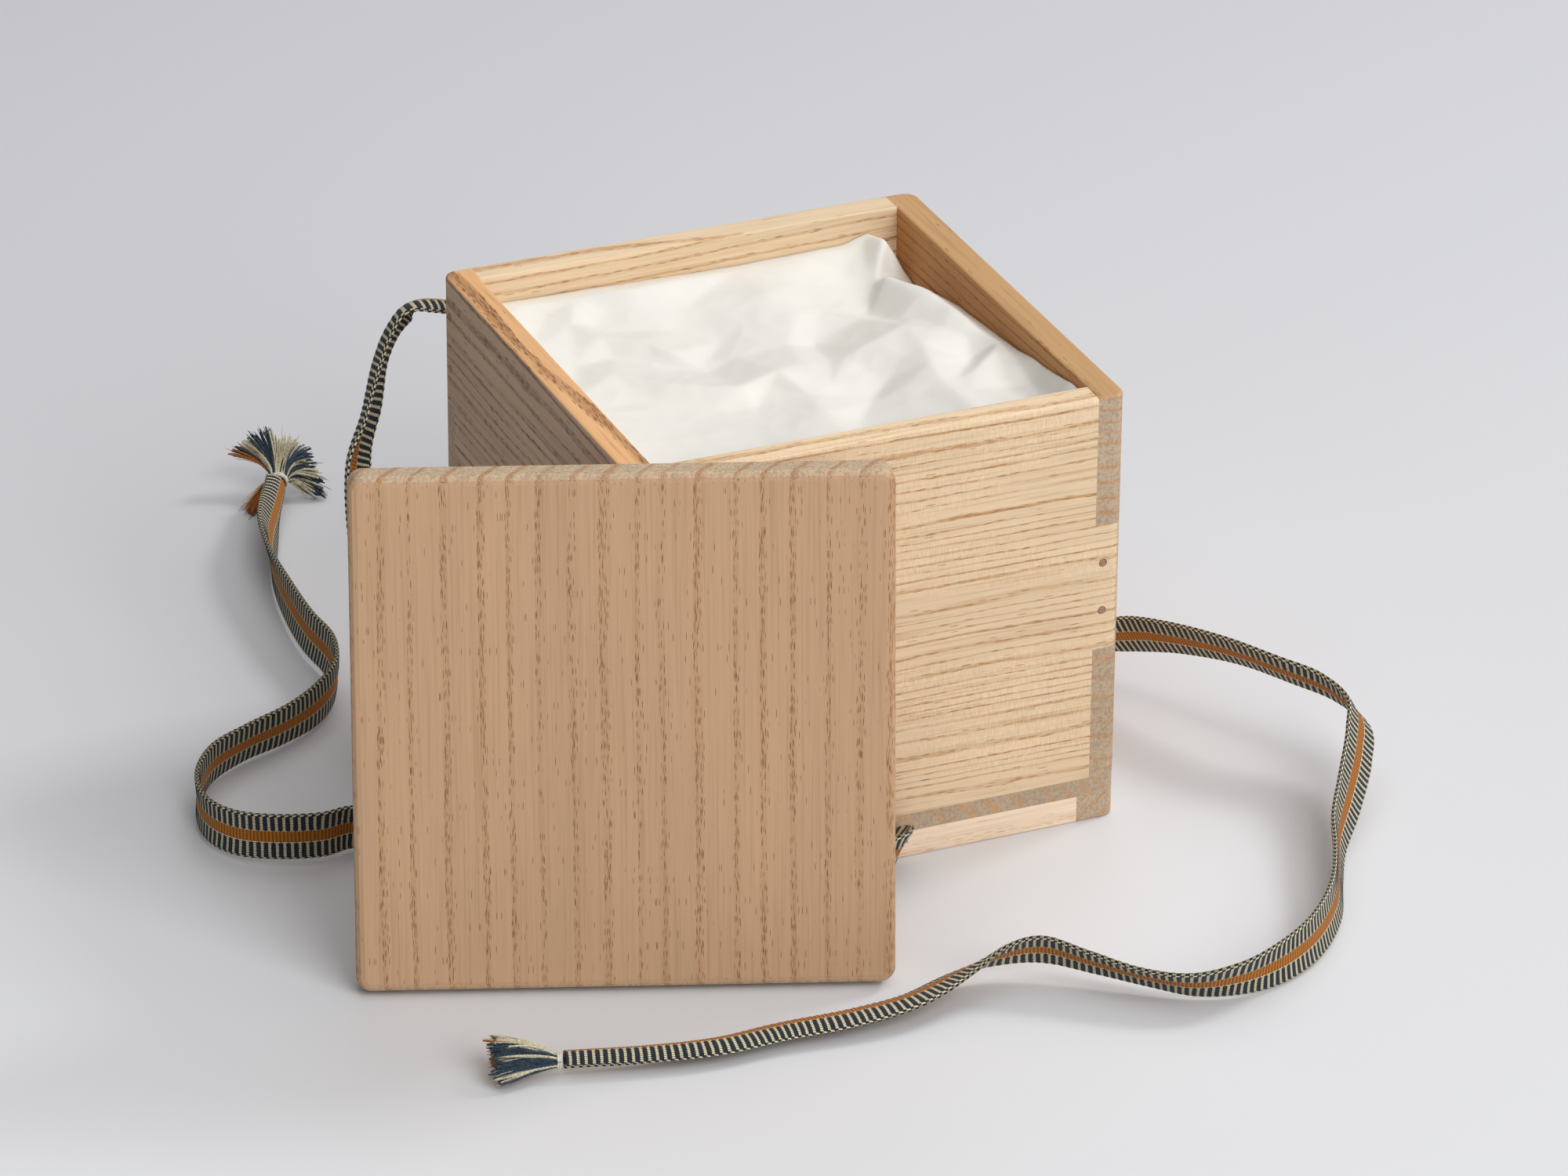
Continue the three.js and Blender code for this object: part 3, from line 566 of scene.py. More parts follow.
class Strip:
    """A route resampled at an even spacing, with the cord's directions at each place."""

    def __init__(self, route, reference=UPRIGHT):
        line = smooth_route(route)
        run = run_along(line[:, :3])
        self.length = run[-1]
        count = max(2, round(self.length * RINGS_PER_BAR / BAR_PERIOD))
        self.run = np.linspace(0, self.length, count + 1)
        sampled = np.column_stack([np.interp(self.run, run, line[:, k]) for k in range(4)])
        self.centre = sampled[:, :3]
        self.along = unit(np.gradient(self.centre, axis=0))
        lean = np.radians(sampled[:, 3])[:, None]
        right = unit(np.cross(self.along, reference))
        raised = np.cross(right, self.along)
        self.across = np.cos(lean) * raised + np.sin(lean) * right
        self.out = np.cross(self.along, self.across)


def mesh_object(name, vertices, faces):
    mesh = bpy.data.meshes.new(name)
    mesh.from_pydata(np.asarray(vertices).tolist(), [], faces)
    mesh.shade_smooth()
    piece = bpy.data.objects.new(name, mesh)
    bpy.context.scene.collection.objects.link(piece)
    return piece


def set_weave(mesh, places):
    """Gives each vertex its place on the weave."""
    corners = np.zeros(len(mesh.loops), np.int32)
    mesh.loops.foreach_get("vertex_index", corners)
    mesh.uv_layers.new(name="weave").data.foreach_set("uv", places[corners].ravel())


def cord_section():
    """Once round the cord's section: place across and out in millimetres, and share to the edge."""
    half = CORD_WIDTH / 2
    right = [(share * half, FACE_THICKNESS / 2, share) for share in FACE_SHARES]
    for angle in SELVAGE_ANGLES:
        turn = math.radians(angle)
        across = half - SELVAGE_RADIUS + SELVAGE_RADIUS * math.cos(turn)
        share = SELVAGE_SHARE + (1 - SELVAGE_SHARE) * (1 - abs(angle) / 90)
        right.append((across, SELVAGE_RADIUS * math.sin(turn), share))
    right += [(across, -out, share) for across, out, share in right[len(FACE_SHARES) - 1::-1]]
    left = [(-across, out, -share) for across, out, share in right[-2:0:-1]]
    return np.array(right + left)


def rib_height(phase, shares):
    """How far the weave stands out at each share of the bar period and share of the width."""
    navy = NAVY_RIB * np.sin(np.pi * phase / NAVY_SHARE)
    cream = CREAM_RIB * np.sin(np.pi * (phase - NAVY_SHARE) / (1 - NAVY_SHARE))
    bars = np.where(phase < NAVY_SHARE, navy, cream)
    stripe = STRIPE_RIB * np.abs(np.sin(2 * np.pi * phase))
    height = np.where(shares > BORDER_SHARE, bars, 0.0)
    height = np.where(shares < STRIPE_SHARE, stripe, height)
    chain = SELVAGE_STEP * np.sin(2 * np.pi * phase)
    return np.where(shares > SELVAGE_SHARE, chain, height)


def pinched(strip, pinches):
    """The share that is left of the width, the roll of the edges and the turn, at each ring."""
    width = np.ones(len(strip.run))
    curl = np.full(len(strip.run), CUPPING)
    turn = np.zeros(len(strip.run))
    for start, end, share, roll, twist in pinches:
        place = np.clip((strip.run / strip.length - start) / (end - start), 0, 1)
        place = place * place * (3 - 2 * place)
        width += (share - 1) * place
        curl += (roll - CUPPING) * place
        turn += twist * place
    return width[:, None], curl[:, None], turn[:, None]


def cord_points(strip, section, pinches):
    """A ring of points for each place: ribs stand up, edges are rounded and the strip cups."""
    across, out, shares = section
    width, curl, turn = pinched(strip, pinches)
    phase = ((strip.run / BAR_PERIOD) % 1)[:, None]
    rib = rib_height(phase, np.abs(shares))
    edge = np.abs(shares) > SELVAGE_SHARE
    thick = out + np.where(edge, 0, np.sign(out) * rib)
    wide = across * width + np.where(edge, np.sign(across) * rib, 0)
    half = CORD_WIDTH / 2 * width
    angle = curl * wide / half
    reach = half / curl
    sideways = np.sin(angle) * (reach + thick)
    outward = thick * np.cos(angle) - reach * (1 - np.cos(angle)) + half * curl / 6
    turned_sideways = np.cos(turn) * sideways + np.sin(turn) * outward
    turned_outward = np.cos(turn) * outward - np.sin(turn) * sideways
    points = (
        strip.centre[:, None, :]
        + strip.across[:, None, :] * turned_sideways[:, :, None]
        + strip.out[:, None, :] * turned_outward[:, :, None]
    )
    points[:, :, 2] = np.maximum(points[:, :, 2], FLOOR_GAP)
    return points


def ring_faces(rings, around):
    """Four-sided faces between the rings, and a cap at each end."""
    start = np.arange(rings - 1)[:, None] * around
    here = np.arange(around)[None, :]
    following = (here + 1) % around
    corners = [start + here, start + here + around, start + following + around, start + following]
    faces = np.stack(corners, axis=-1).reshape(-1, 4).tolist()
    faces.append(list(range(around)))
    faces.append(list(range((rings - 1) * around, rings * around))[::-1])
    return faces


def cord_mesh(name, strip, pinches):
    section = cord_section().T[:, None, :]
    points = cord_points(strip, section, pinches)
    rings, around = points.shape[:2]
    piece = mesh_object(name, to_frame(points).reshape(-1, 3), ring_faces(rings, around))
    along = np.broadcast_to((strip.run / BAR_PERIOD)[:, None], (rings, around))
    sides = np.broadcast_to(section[2] * 0.5 + 0.5, (rings, around))
    set_weave(piece.data, np.stack([along, sides], axis=-1).reshape(-1, 2))
    return piece


# What the weave is made of, counted across the cord and in each bar period
YARNS_ACROSS = 25
THREADS_ACROSS = 40
STITCHES_PER_BAR = 2
STITCH_START = 1.2
WOBBLE_NOISE = ((0.5, 5.0, 0.0), (0, 0, 0), 2.0)
FUZZ_NOISE = ((6.0, 42.0, 0.0), (3, 5, 0), 3.0, 0.75)
WOBBLE_SHARE = 0.14
FUZZ_SHARE = 0.1
BEAD_SHARE = 0.035
SLANT = 3.0

NAVY_TONES = (rgb(20, 28, 36), rgb(72, 84, 92))
CREAM_TONES = (rgb(164, 146, 108), rgb(240, 230, 200))
TAN_TONES = (rgb(120, 66, 16), rgb(206, 132, 48))


def cream_bars(shader, phase, beads):
    """Where the cream bars lie, as rows of small beads between the navy ribs."""
    pinch = shader.times(beads, BEAD_SHARE)
    return shader.times(
        shader.ramp(shader.add(phase, pinch), NAVY_SHARE - 0.01, NAVY_SHARE + 0.05),
        shader.ramp(shader.math("SUBTRACT", phase, pinch), 1.0, 0.94),
    )


def edge_stitches(shader, side, along):
    """Two rows of slanting stitches along the edge, the outer one set half a stitch on."""
    outer_row = shader.math("GREATER_THAN", side, STITCH_MIDDLE_SHARE)
    slant = shader.add_times(shader.add_times(along, outer_row, 0.5), side, SLANT)
    chain = shader.ramp(shader.sine(slant, 1), -0.2, 0.15)
    from_middle = shader.math("ABSOLUTE", shader.add(side, -STITCH_MIDDLE_SHARE))
    return shader.times(chain, shader.ramp(from_middle, 0.002, 0.008))


def border_stitches(shader, side, along):
    """A dotted line on each side of the stripe."""
    border = shader.times(
        shader.ramp(side, STRIPE_SHARE - 0.006, STRIPE_SHARE + 0.006),
        shader.ramp(side, BORDER_SHARE - 0.006, BORDER_SHARE - 0.016),
    )
    stitch = shader.ramp(shader.sine(along, STITCHES_PER_BAR, STITCH_START), -0.9, -0.2)
    return shader.times(border, stitch)


def cord_material():
    """Navy and cream bars on both sides of a tan stripe, with stitched edges."""
    shader = Shader("cord_weave")
    places = shader.node("UVMap", uv_map="weave").outputs["UV"]
    split = shader.split(places)
    side = shader.math("ABSOLUTE", shader.add_times(-1.0, split["Y"], 2.0))
    fuzz = shader.noise(places, *FUZZ_NOISE)
    along = shader.sway(split["X"], shader.noise(places, *WOBBLE_NOISE), WOBBLE_SHARE)
    along = shader.sway(along, fuzz, FUZZ_SHARE)
    beads = shader.sine(split["Y"], YARNS_ACROSS)
    threads = shader.sine(split["Y"], THREADS_ACROSS)

    edge = shader.ramp(side, SELVAGE_SHARE - 0.004, SELVAGE_SHARE + 0.004)
    bars = cream_bars(shader, shader.math("FRACT", along), beads)
    cream_parts = shader.mix(edge, bars, edge_stitches(shader, side, along))
    navy = shader.mix(shader.ramp(fuzz, 0.35, 0.8), *NAVY_TONES)
    # Cream darker between its beads, tan darker between its threads and ribs: painted shade in the
    # grooves, over random fuzz tone.
    cream_fuzz_and_bead_shade = shader.add_times(fuzz, beads, 0.3)
    cream = shader.mix(shader.ramp(cream_fuzz_and_bead_shade, 0.2, 0.75), *CREAM_TONES)
    ribs = shader.sine(along, STITCHES_PER_BAR)
    tan_fuzz_and_rib_shade = shader.add_times(shader.add_times(fuzz, threads, 0.12), ribs, 0.22)
    tan = shader.mix(shader.ramp(tan_fuzz_and_rib_shade, 0.15, 0.85), *TAN_TONES)
    color = shader.mix(cream_parts, navy, cream)
    color = shader.mix(border_stitches(shader, side, along), color, cream)
    color = shader.mix(shader.ramp(side, STRIPE_SHARE + 0.004, STRIPE_SHARE - 0.006), color, tan)

    height = shader.add_times(shader.times(fuzz, 1.2), shader.times(beads, cream_parts), 0.5)
    height = shader.add_times(height, threads, 0.1)
    normal = shader.bump(height, 0.14 * MM, 0.8)
    return shader.finish(color, 0.85, 0.15, normal, sheen=0.1)


def cord_piece(name, node, strip, weave, pinches=()):
    piece = cord_mesh(name, strip, pinches)
    piece.data.materials.append(weave)
    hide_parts(node)
    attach(piece, "box")


# Tassels

TIE_START = 0.6
TIE_THREAD = 0.42
TIE_PITCH = 1.7 * TIE_THREAD
TIE_STEPS = 24
TIE_PLY_DEPTH = 0.15
THREAD_SIDES = 8
PLY_PITCH = 2.6
FIBRES_PER_THREAD = 2
TIP_SHARE = 0.6
ROOT_SHARES = (0.3, 1.0)
LEAVING_SHARE = 0.42
WANDER = 0.5
STEEP_SHARE = 0.9
CORD_END_SLOPE = 0.02

# A thread and a loose fibre: the share of its bundle's parting, its radius, how deep its plies
# are and its steps
THREAD = (1.0, 0.42, 0.42, 32)
FIBRE = (1.35, 0.09, 0.0, 16)


class TasselFrame:
    """Where a cord ends, and its own directions: along, to the right and up."""

    def __init__(self, strip):
        along = strip.along[-1].copy()
        along[2] = CORD_END_SLOPE * np.hypot(along[0], along[1])
        self.along = unit(along)
        self.right = unit(np.cross(self.along, UPRIGHT))
        self.top = np.cross(self.right, self.along)
        self.start = strip.centre[-1]

    def place(self, along, right, top):
        return self.start + self.along * along + self.right * right + self.top * top


def tube(points, radius, ply_depth):
    """Vertices and faces of a closed tube whose section shows two twisted plies."""
    along = unit(np.gradient(points, axis=0))
    steep = np.abs(along[:, 2:3]) > STEEP_SHARE
    right = unit(np.cross(along, np.where(steep, np.array([[1.0, 0, 0]]), UPRIGHT[None, :])))
    top = np.cross(right, along)
    angles = np.linspace(0, 2 * math.pi, THREAD_SIDES, endpoint=False)
    twist = angles[None, :] - 2 * math.pi * run_along(points)[:, None] / PLY_PITCH
    radii = np.full(len(points), radius)
    radii[-1] *= TIP_SHARE
    spread = radii[:, None] * (1 - ply_depth * np.sin(twist) ** 2)
    vertices = (
        points[:, None, :]
        + right[:, None, :] * (np.cos(angles) * spread)[:, :, None]
        + top[:, None, :] * (np.sin(angles) * spread)[:, :, None]
    )
    faces = [face[::-1] for face in ring_faces(len(points), THREAD_SIDES)]
    return vertices.reshape(-1, 3), faces


def join_tubes(name, node, tubes, materials):
    """One piece from tubes given as points in millimetres, radius, ply depth and material number."""
    vertices, faces, numbers = [], [], []
    start = 0
    for points, radius, ply_depth, number in tubes:
        part, part_faces = tube(points, radius, ply_depth)
        vertices.append(part)
        faces.extend(tuple(start + index for index in face) for face in part_faces)
        numbers.extend([number] * len(part_faces))
        start += len(part)
    vertices = np.vstack(vertices)
    vertices[:, 2] = np.maximum(vertices[:, 2], FLOOR_GAP)
    piece = mesh_object(name, to_frame(vertices), faces)
    for material in materials:
        piece.data.materials.append(material)
    piece.data.polygons.foreach_set("material_index", numbers)
    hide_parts(node)
    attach(piece, "box")
    return piece


def thread_material(name, dark, light):
    shader = Shader(name)
    fuzz = shader.noise(shader.places()["Object"], (1500, 1500, 1500), (0, 0, 0), 3.0, 0.7)
    normal = shader.bump(fuzz, 0.2 * MM, 0.8)
    color = shader.mix(shader.ramp(fuzz, 0.3, 0.7), dark, light)
    return shader.finish(color, 0.9, 0.1, normal, sheen=0.3)


def tie_tube(end_frame, radius, turns):
    """A thread wound round the cord's end."""
    points = []
    for i in range(TIE_STEPS * turns + 1):
        turn = i / TIE_STEPS
        angle = 2 * math.pi * turn
        along = TIE_START + TIE_THREAD + TIE_PITCH * turn
        points.append(end_frame.place(along, radius * math.cos(angle), radius * math.sin(angle)))
    return np.array(points), TIE_THREAD, TIE_PLY_DEPTH, 0


NAVY, CREAM, TAN = 0, 1, 2

# Bundles of threads: their tips to the right of the tie, beyond it and above it in millimetres,
# how far the threads swing up on the way, their colour, their number and how far the tips part
RAISED_BUNDLES = [
    ((-16, 8.5, 5), 2, TAN, 6, 0.8),
    ((-15.3, 10, 6.8), 1.5, NAVY, 4, 0.6),
    ((-13.8, 10.2, 7), 1.2, TAN, 3, 0.6),
    ((-11.8, 12, 8.6), 1, CREAM, 14, 1.3),
    ((-8.8, 13.2, 9.8), 0.5, NAVY, 11, 1.2),
    ((-6.3, 14.6, 10.8), 0.2, NAVY, 9, 1.1),
    ((-4.2, 15.2, 11), 0, CREAM, 5, 0.7),
    ((-0.6, 15.2, 6.8), -0.5, CREAM, 12, 1.7),
    ((2.6, 15, 7.2), -0.5, CREAM, 9, 1.6),
    ((1.2, 14, 5), 0, NAVY, 4, 1.2),
    ((6.2, 13, 6.2), 2.4, CREAM, 6, 1.2),
    ((7.2, 12.5, 5), 5, NAVY, 13, 1.3),
    ((9, 11, 2.8), 5.5, NAVY, 8, 1),
    ((8.6, 10.5, 1), 4.8, CREAM, 12, 1.3),
    ((11.6, 8.5, 0.8), 3.4, NAVY, 8, 1.2),
    ((12.2, 7, -1.4), 2.4, CREAM, 8, 1.1),
    ((12.4, 5.8, -3), 1.6, NAVY, 10, 1.1),
    ((12.8, 4, -4.6), 1.2, CREAM, 5, 0.8),
    ((10, 3.5, -5.6), 0.8, CREAM, 5, 0.9),
    ((14.4, 3.2, -6.2), 0.4, NAVY, 12, 0.9),
    ((-8.6, -9, -7), 2.8, TAN, 16, 1.1),
    ((-11.5, -6.5, -7.4), 2, CREAM, 3, 0.6),
]
LYING_BUNDLES = [
    ((6.8, 18.8, 3.4), 2.6, TAN, 9, 0.8),
    ((4.8, 18.2, 5.2), 3, CREAM, 9, 0.8),
    ((6.2, 17.6, 4.8), 2.6, NAVY, 5, 0.5),
    ((3, 18.8, 5), 2.6, TAN, 5, 0.6),
    ((2.6, 18.4, 5.2), 2.6, CREAM, 9, 0.9),
    ((0.6, 18.6, 5), 2.4, NAVY, 10, 0.9),
    ((-0.8, 15, 5.6), 3, CREAM, 2, 0.4),
    ((-1.4, 18.2, 4.2), 2.2, NAVY, 9, 0.9),
    ((-2.6, 17, 3.4), 2, CREAM, 7, 0.8),
    ((-3.8, 18.2, 2.4), 1.8, NAVY, 10, 0.9),
    ((-5.2, 18.6, 0.4), 1.6, NAVY, 7, 0.7),
    ((-5.8, 18.2, -1.4), 1.2, CREAM, 7, 0.7),
    ((-6.2, 17.4, -2.4), 0.8, NAVY, 5, 0.6),
    ((0, 18.8, 1.5), 0.6, TAN, 8, 1.2),
    ((2, 18.5, -0.5), 0.4, CREAM, 8, 1.2),
    ((5, 18, 0.5), 0.6, NAVY, 8, 1.2),
]

# Each tassel: how long, thick and often wound its tie is, how far from the middle its threads
# start, the share of their way to the side that they make at once, and its random seed
RAISED_TASSEL = {
    "tie_length": 2.0, "tie_radius": 2.9, "turns": 3,
    "bundles": RAISED_BUNDLES, "root_radius": 2.6, "bulge_share": 0.12, "seed": 5,
}
LYING_TASSEL = {
    "tie_length": 1.6, "tie_radius": 2.1, "turns": 2,
    "bundles": LYING_BUNDLES, "root_radius": 1.9, "bulge_share": 0.45, "seed": 8,
}


def bent_line(root, leaving, tip, wander, steps):
    """A line from root to tip that first runs along the leaving way and sways a little."""
    t = np.linspace(0, 1, steps + 1)[:, None]
    sway = wander * np.sin(2 * math.pi * t) * t
    return root * (1 - t) ** 2 + (root + leaving) * 2 * t * (1 - t) + tip * t ** 2 + sway


def fringe_tubes(end_frame, looks):
    """Threads that leave the tie side by side and part into bundles, with loose fibres."""
    draw = random.Random(looks["seed"])
    start = TIE_START + looks["tie_length"]
    tubes = []
    for (right, beyond, up), swing, color, count, parting in looks["bundles"]:
        reach = max(math.hypot(right, up), 1.0)
        kinds = [THREAD] * count + [FIBRE] * count * FIBRES_PER_THREAD
        for share, radius, ply_depth, steps in kinds:
            spread = [draw.gauss(0, parting * share) for _ in range(3)]
            tip = np.array([right, beyond, up]) + spread
            root_share = draw.uniform(*ROOT_SHARES) * looks["root_radius"] / reach
            root = np.array([right * root_share, 0.0, up * root_share])
            leaving = tip * looks["bulge_share"]
            leaving[1] = LEAVING_SHARE * np.linalg.norm(tip)
            leaving[2] += swing
            wander = np.array([draw.uniform(-WANDER, WANDER) for _ in range(3)])
            places = bent_line(root, leaving, tip, wander, steps)
            line = [end_frame.place(start + place[1], place[0], place[2]) for place in places]
            tubes.append((np.array(line), radius, ply_depth, color))
    return tubes


def tassel_pieces(end, strip, looks, threads, white):
    """The tie and the fringe at one end of the cord."""
    end_frame = TasselFrame(strip)
    tie = tie_tube(end_frame, looks["tie_radius"], looks["turns"])
    fringe = fringe_tubes(end_frame, looks)
    return [
        join_tubes(f"{end}_tie", f"tie_{end}_end", [tie], [white]),
        join_tubes(f"{end}_fringe", f"fringe_{end}_end", fringe, threads),
    ]


def add_cord():
    weave = cord_material()
    threads = [
        thread_material("navy_thread", rgb(22, 36, 50), rgb(70, 88, 104)),
        thread_material("cream_thread", rgb(180, 168, 134), rgb(236, 228, 202)),
        thread_material("tan_thread", rgb(150, 82, 26), rgb(206, 132, 60)),
    ]
    white = thread_material("white_thread", rgb(208, 200, 182), rgb(246, 242, 230))
    front_end = Strip(FRONT_END_ROUTE)
    right_end = Strip(RIGHT_END_ROUTE)
    loop = Strip(LOOP_ROUTE, LOOP_REFERENCE)
    front_back = Strip(FRONT_TO_BACK_ROUTE)
    left_right = Strip(LEFT_TO_RIGHT_ROUTE)
    raised = tassel_pieces("front", front_end, RAISED_TASSEL, threads, white)
    lying = tassel_pieces("right", right_end, LYING_TASSEL, threads, white)
    cord_piece("front_end_cord", "cord_front_end", front_end, weave,
               RAISED_PINCHES)
    cord_piece("right_end_cord", "cord_right_end", right_end, weave,
               LYING_PINCHES)
    cord_piece("loop_cord", "cord_loop", loop, weave, LOOP_PINCHES)
    cord_piece("front_to_back_cord", "cord_under_front_back", front_back, weave)
    cord_piece("left_to_right_cord", "cord_under_left_right", left_right, weave)


# Paper

paper_low, paper_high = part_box("wrapping_paper")
PAPER_HALF_WIDTH = (paper_high.x - paper_low.x) / 2 / MM
PAPER_HALF_DEPTH = (paper_high.y - paper_low.y) / 2 / MM
PAPER_BASE = paper_low.z / MM
PAPER_BELOW_RIM = 14.0
PAPER_SAG = 3.0
PAPER_FOLD_SHARE = 1.3
PAPER_CRISP_PASSES = 3
PAPER_SOFT_PASSES = 30
PAPER_CELLS = 210
PAPER_WALL_STEPS = 24
FRONT_RISES = (0.5, 2.0)
BACK_RISES = (3.5, 0.0)

# Dents: how far apart they lie and how deep they are, in millimetres, and their random seed
LARGE_DENTS = (30.0, 0.8, 3.0)
SMALL_DENTS = (9.0, 0.25, 9.0)

# Slack for places on an edge between two facets
NEAR_SHARE = 1e-6
JOIN_DISTANCE = 1e-3

# Each fold runs through places given as shares of the half size, with its height in millimetres
PAPER_FOLDS = [
    [(-1, -1, 0), (-1, -0.5, 0), (-1, 0, 0), (-1, 0.5, 0.5), (-1, 1, 1.5), (-0.5, 1, 1.5), (0, 1, 1.5)],
    [(0, 1, 1.5), (0.5, 1, 3), (0.72, 1, 3.2), (0.86, 1, 6), (1, 1, -4), (1, 0.8, -6), (1, 0.6, -3)],
    [(1, 0.6, -3), (1, 0.3, 0), (1, 0, 1), (1, -0.2, 2), (1, -0.6, 6), (1, -0.88, 8), (1, -1, 8)],
    [(1, -1, 8), (0.9, -1, 3), (0.6, -1, 3), (0, -1, 1), (-0.5, -1, 0), (-1, -1, 0)],
    [(-0.88, 0.94, 2), (-0.6, 0.9, 2.5), (-0.35, 0.86, 4.5), (-0.14, 0.91, 3.5), (0.2, 0.96, 2)],
    [(-0.35, 0.86, 4.5), (-0.36, 0.8, 2), (-0.5, 0.62, 0.5)],
    [(-0.48, 0.83, 1.2)],
    [(-0.76, 0.86, 0.5), (-0.7, 0.72, 1.5), (-0.62, 0.56, 2.5), (-0.47, 0.43, 3), (-0.38, 0.29, 3)],
    [(-0.38, 0.29, 3), (-0.26, 0.2, 1)],
    [(-0.59, 0.7, 0.3)],
    [(-0.28, 0.57, 0.6)],
    [(-0.81, 0.37, 0), (-0.71, 0.19, 2), (-0.52, 0, 3), (-0.26, -0.15, 3.5), (-0.05, -0.11, 5.5)],
    [(-0.62, 0.39, 0.5), (-0.45, 0.25, 0.6), (-0.28, 0.12, 0.8)],
    [(-0.05, -0.11, 5.5), (-0.12, -0.16, 2.5), (-0.22, -0.27, 1)],
    [(-0.61, -0.09, 0.6), (-0.41, -0.23, 0.6)],
    [(-0.05, -0.11, 5.5), (0.08, -0.04, 4), (0.25, 0.01, 2)],
    [(-0.1, 0.43, 0.3), (-0.11, 0.21, 1.5)],
    [(-0.1, 0.43, 0.3), (0.04, 0.31, 1.8), (0.14, 0.22, 2.2), (0.25, 0.2, 0.5)],
    [(-0.1, 0.43, 0.3), (0.11, 0.51, 2.2), (0.22, 0.66, 3.8), (0.3, 0.51, 2.6), (0.4, 0.48, 1.2)],
    [(0.4, 0.48, 1.2), (0.25, 0.2, 0.5)],
    [(0.22, 0.66, 3.8), (0.28, 0.87, 2.2)],
    [(-0.11, 0.75, 1.2)],
    [(0.45, 0.78, 1.2)],
    [(0.25, 0.2, 0.5), (0.31, -0.02, 3.2), (0.44, 0.01, 4.6), (0.62, 0.06, 6)],
    [(0.4, 0.48, 1.2), (0.55, 0.36, 1.4), (0.62, 0.06, 6)],
    [(0.31, -0.02, 3.2), (0.43, -0.11, 3.4), (0.5, -0.18, 3.6)],
    [(0.62, 0.06, 6), (0.5, -0.18, 3.6), (0.39, -0.28, 1.2), (0.27, -0.4, 0.4), (0.13, -0.58, 0)],
    [(0.15, -0.23, 2.6), (0.02, -0.31, 2.8), (0.02, -0.49, 2.4)],
    [(0.62, 0.06, 6), (0.63, -0.13, 5.4), (0.6, -0.29, 5.2), (0.57, -0.45, 4.6), (0.58, -0.58, 4.2)],
    [(0.58, -0.58, 4.2), (0.66, -0.6, 3.4)],
    [(0.4, -0.43, 2.8), (0.46, -0.53, 2.6)],
    [(0.72, 0.97, 3.2), (0.67, 0.86, 0.2), (0.66, 0.73, -0.6), (0.77, 0.71, -0.5), (0.61, 0.41, 0)],
    [(0.77, 0.71, -0.5), (0.78, 0.62, 4.2), (0.86, 0.33, 6.2)],
    [(0.61, 0.41, 0), (0.65, 0.18, 3.4)],
    [(0.78, 0.62, 4.2), (0.8, 0.31, 5.6), (0.71, 0.18, 4)],
    [(0.86, 0.33, 6.2), (0.88, 0.12, 6.4), (0.9, -0.13, 5.8), (0.95, -0.25, 4.6)],
    [(0.77, -0.05, 5.6), (0.84, -0.14, 4.2), (0.81, -0.27, 1.8), (0.64, -0.48, 3.4)],
    [(0.95, -0.25, 4.6), (0.87, -0.33, 4.8), (0.75, -0.43, 4)],
    [(0.95, -0.25, 4.6), (0.96, -0.38, 3.4), (0.94, -0.63, 1.5)],
    [(0.81, 0.94, 3.4), (0.89, 0.87, 7.5), (0.92, 0.82, 5), (0.89, 0.78, -2)],
]


def folded_facets():
    """Corners with their heights, and the flat triangles between the folds, in millimetres."""
    places, heights, lines = [], [], []
    for fold in PAPER_FOLDS:
        lines.extend((i, i + 1) for i in range(len(places), len(places) + len(fold) - 1))
        for u, v, height in fold:
            places.append(Vector((u * PAPER_HALF_WIDTH, v * PAPER_HALF_DEPTH)))
            heights.append(height)
    joined = geometry.delaunay_2d_cdt(places, lines, [], 0, JOIN_DISTANCE)
    corners, triangles, sources = joined[0], joined[2], joined[3]
    levels = []
    for corner, source in zip(corners, sources):
        nearest = source[0] if source else min(
            range(len(places)), key=lambda i: (places[i] - corner).length
        )
        levels.append(heights[nearest])
    return corners, levels, triangles


def soften(heights, passes):
    """Heights on a grid, each drawn towards its four neighbours again and again."""
    for _ in range(passes):
        wide = np.pad(heights, 1, mode="edge")
        beside = wide[1:-1, :-2] + wide[1:-1, 2:] + wide[:-2, 1:-1] + wide[2:, 1:-1]
        heights = (2 * heights + beside) / 6
    return heights


def fold_height(x, y):
    """The facets' height at each place, half with crisp edges and half with soft ones."""
    corners, levels, triangles = folded_facets()
    result = np.zeros_like(x)
    for a, b, c in triangles:
        origin, first, second = corners[a], corners[b] - corners[a], corners[c] - corners[a]
        area = first.x * second.y - first.y * second.x
        if abs(area) < NEAR_SHARE:
            continue
        dx, dy = x - origin.x, y - origin.y
        share_b = (dx * second.y - dy * second.x) / area
        share_c = (first.x * dy - first.y * dx) / area
        least = np.minimum(np.minimum(share_b, share_c), 1 - share_b - share_c)
        level = levels[a] + share_b * (levels[b] - levels[a]) + share_c * (levels[c] - levels[a])
        inside = least >= -NEAR_SHARE
        result[inside] = level[inside]
    return middle(soften(result, PAPER_CRISP_PASSES), soften(result, PAPER_SOFT_PASSES))


def dents(x, y, size, depth, seed):
    """Gentle dents with sharp ridges between them."""
    places = zip(x.ravel() / size, y.ravel() / size)
    waves = [abs(noise.noise(Vector((a, b, seed)))) for a, b in places]
    return depth * np.array(waves).reshape(x.shape)


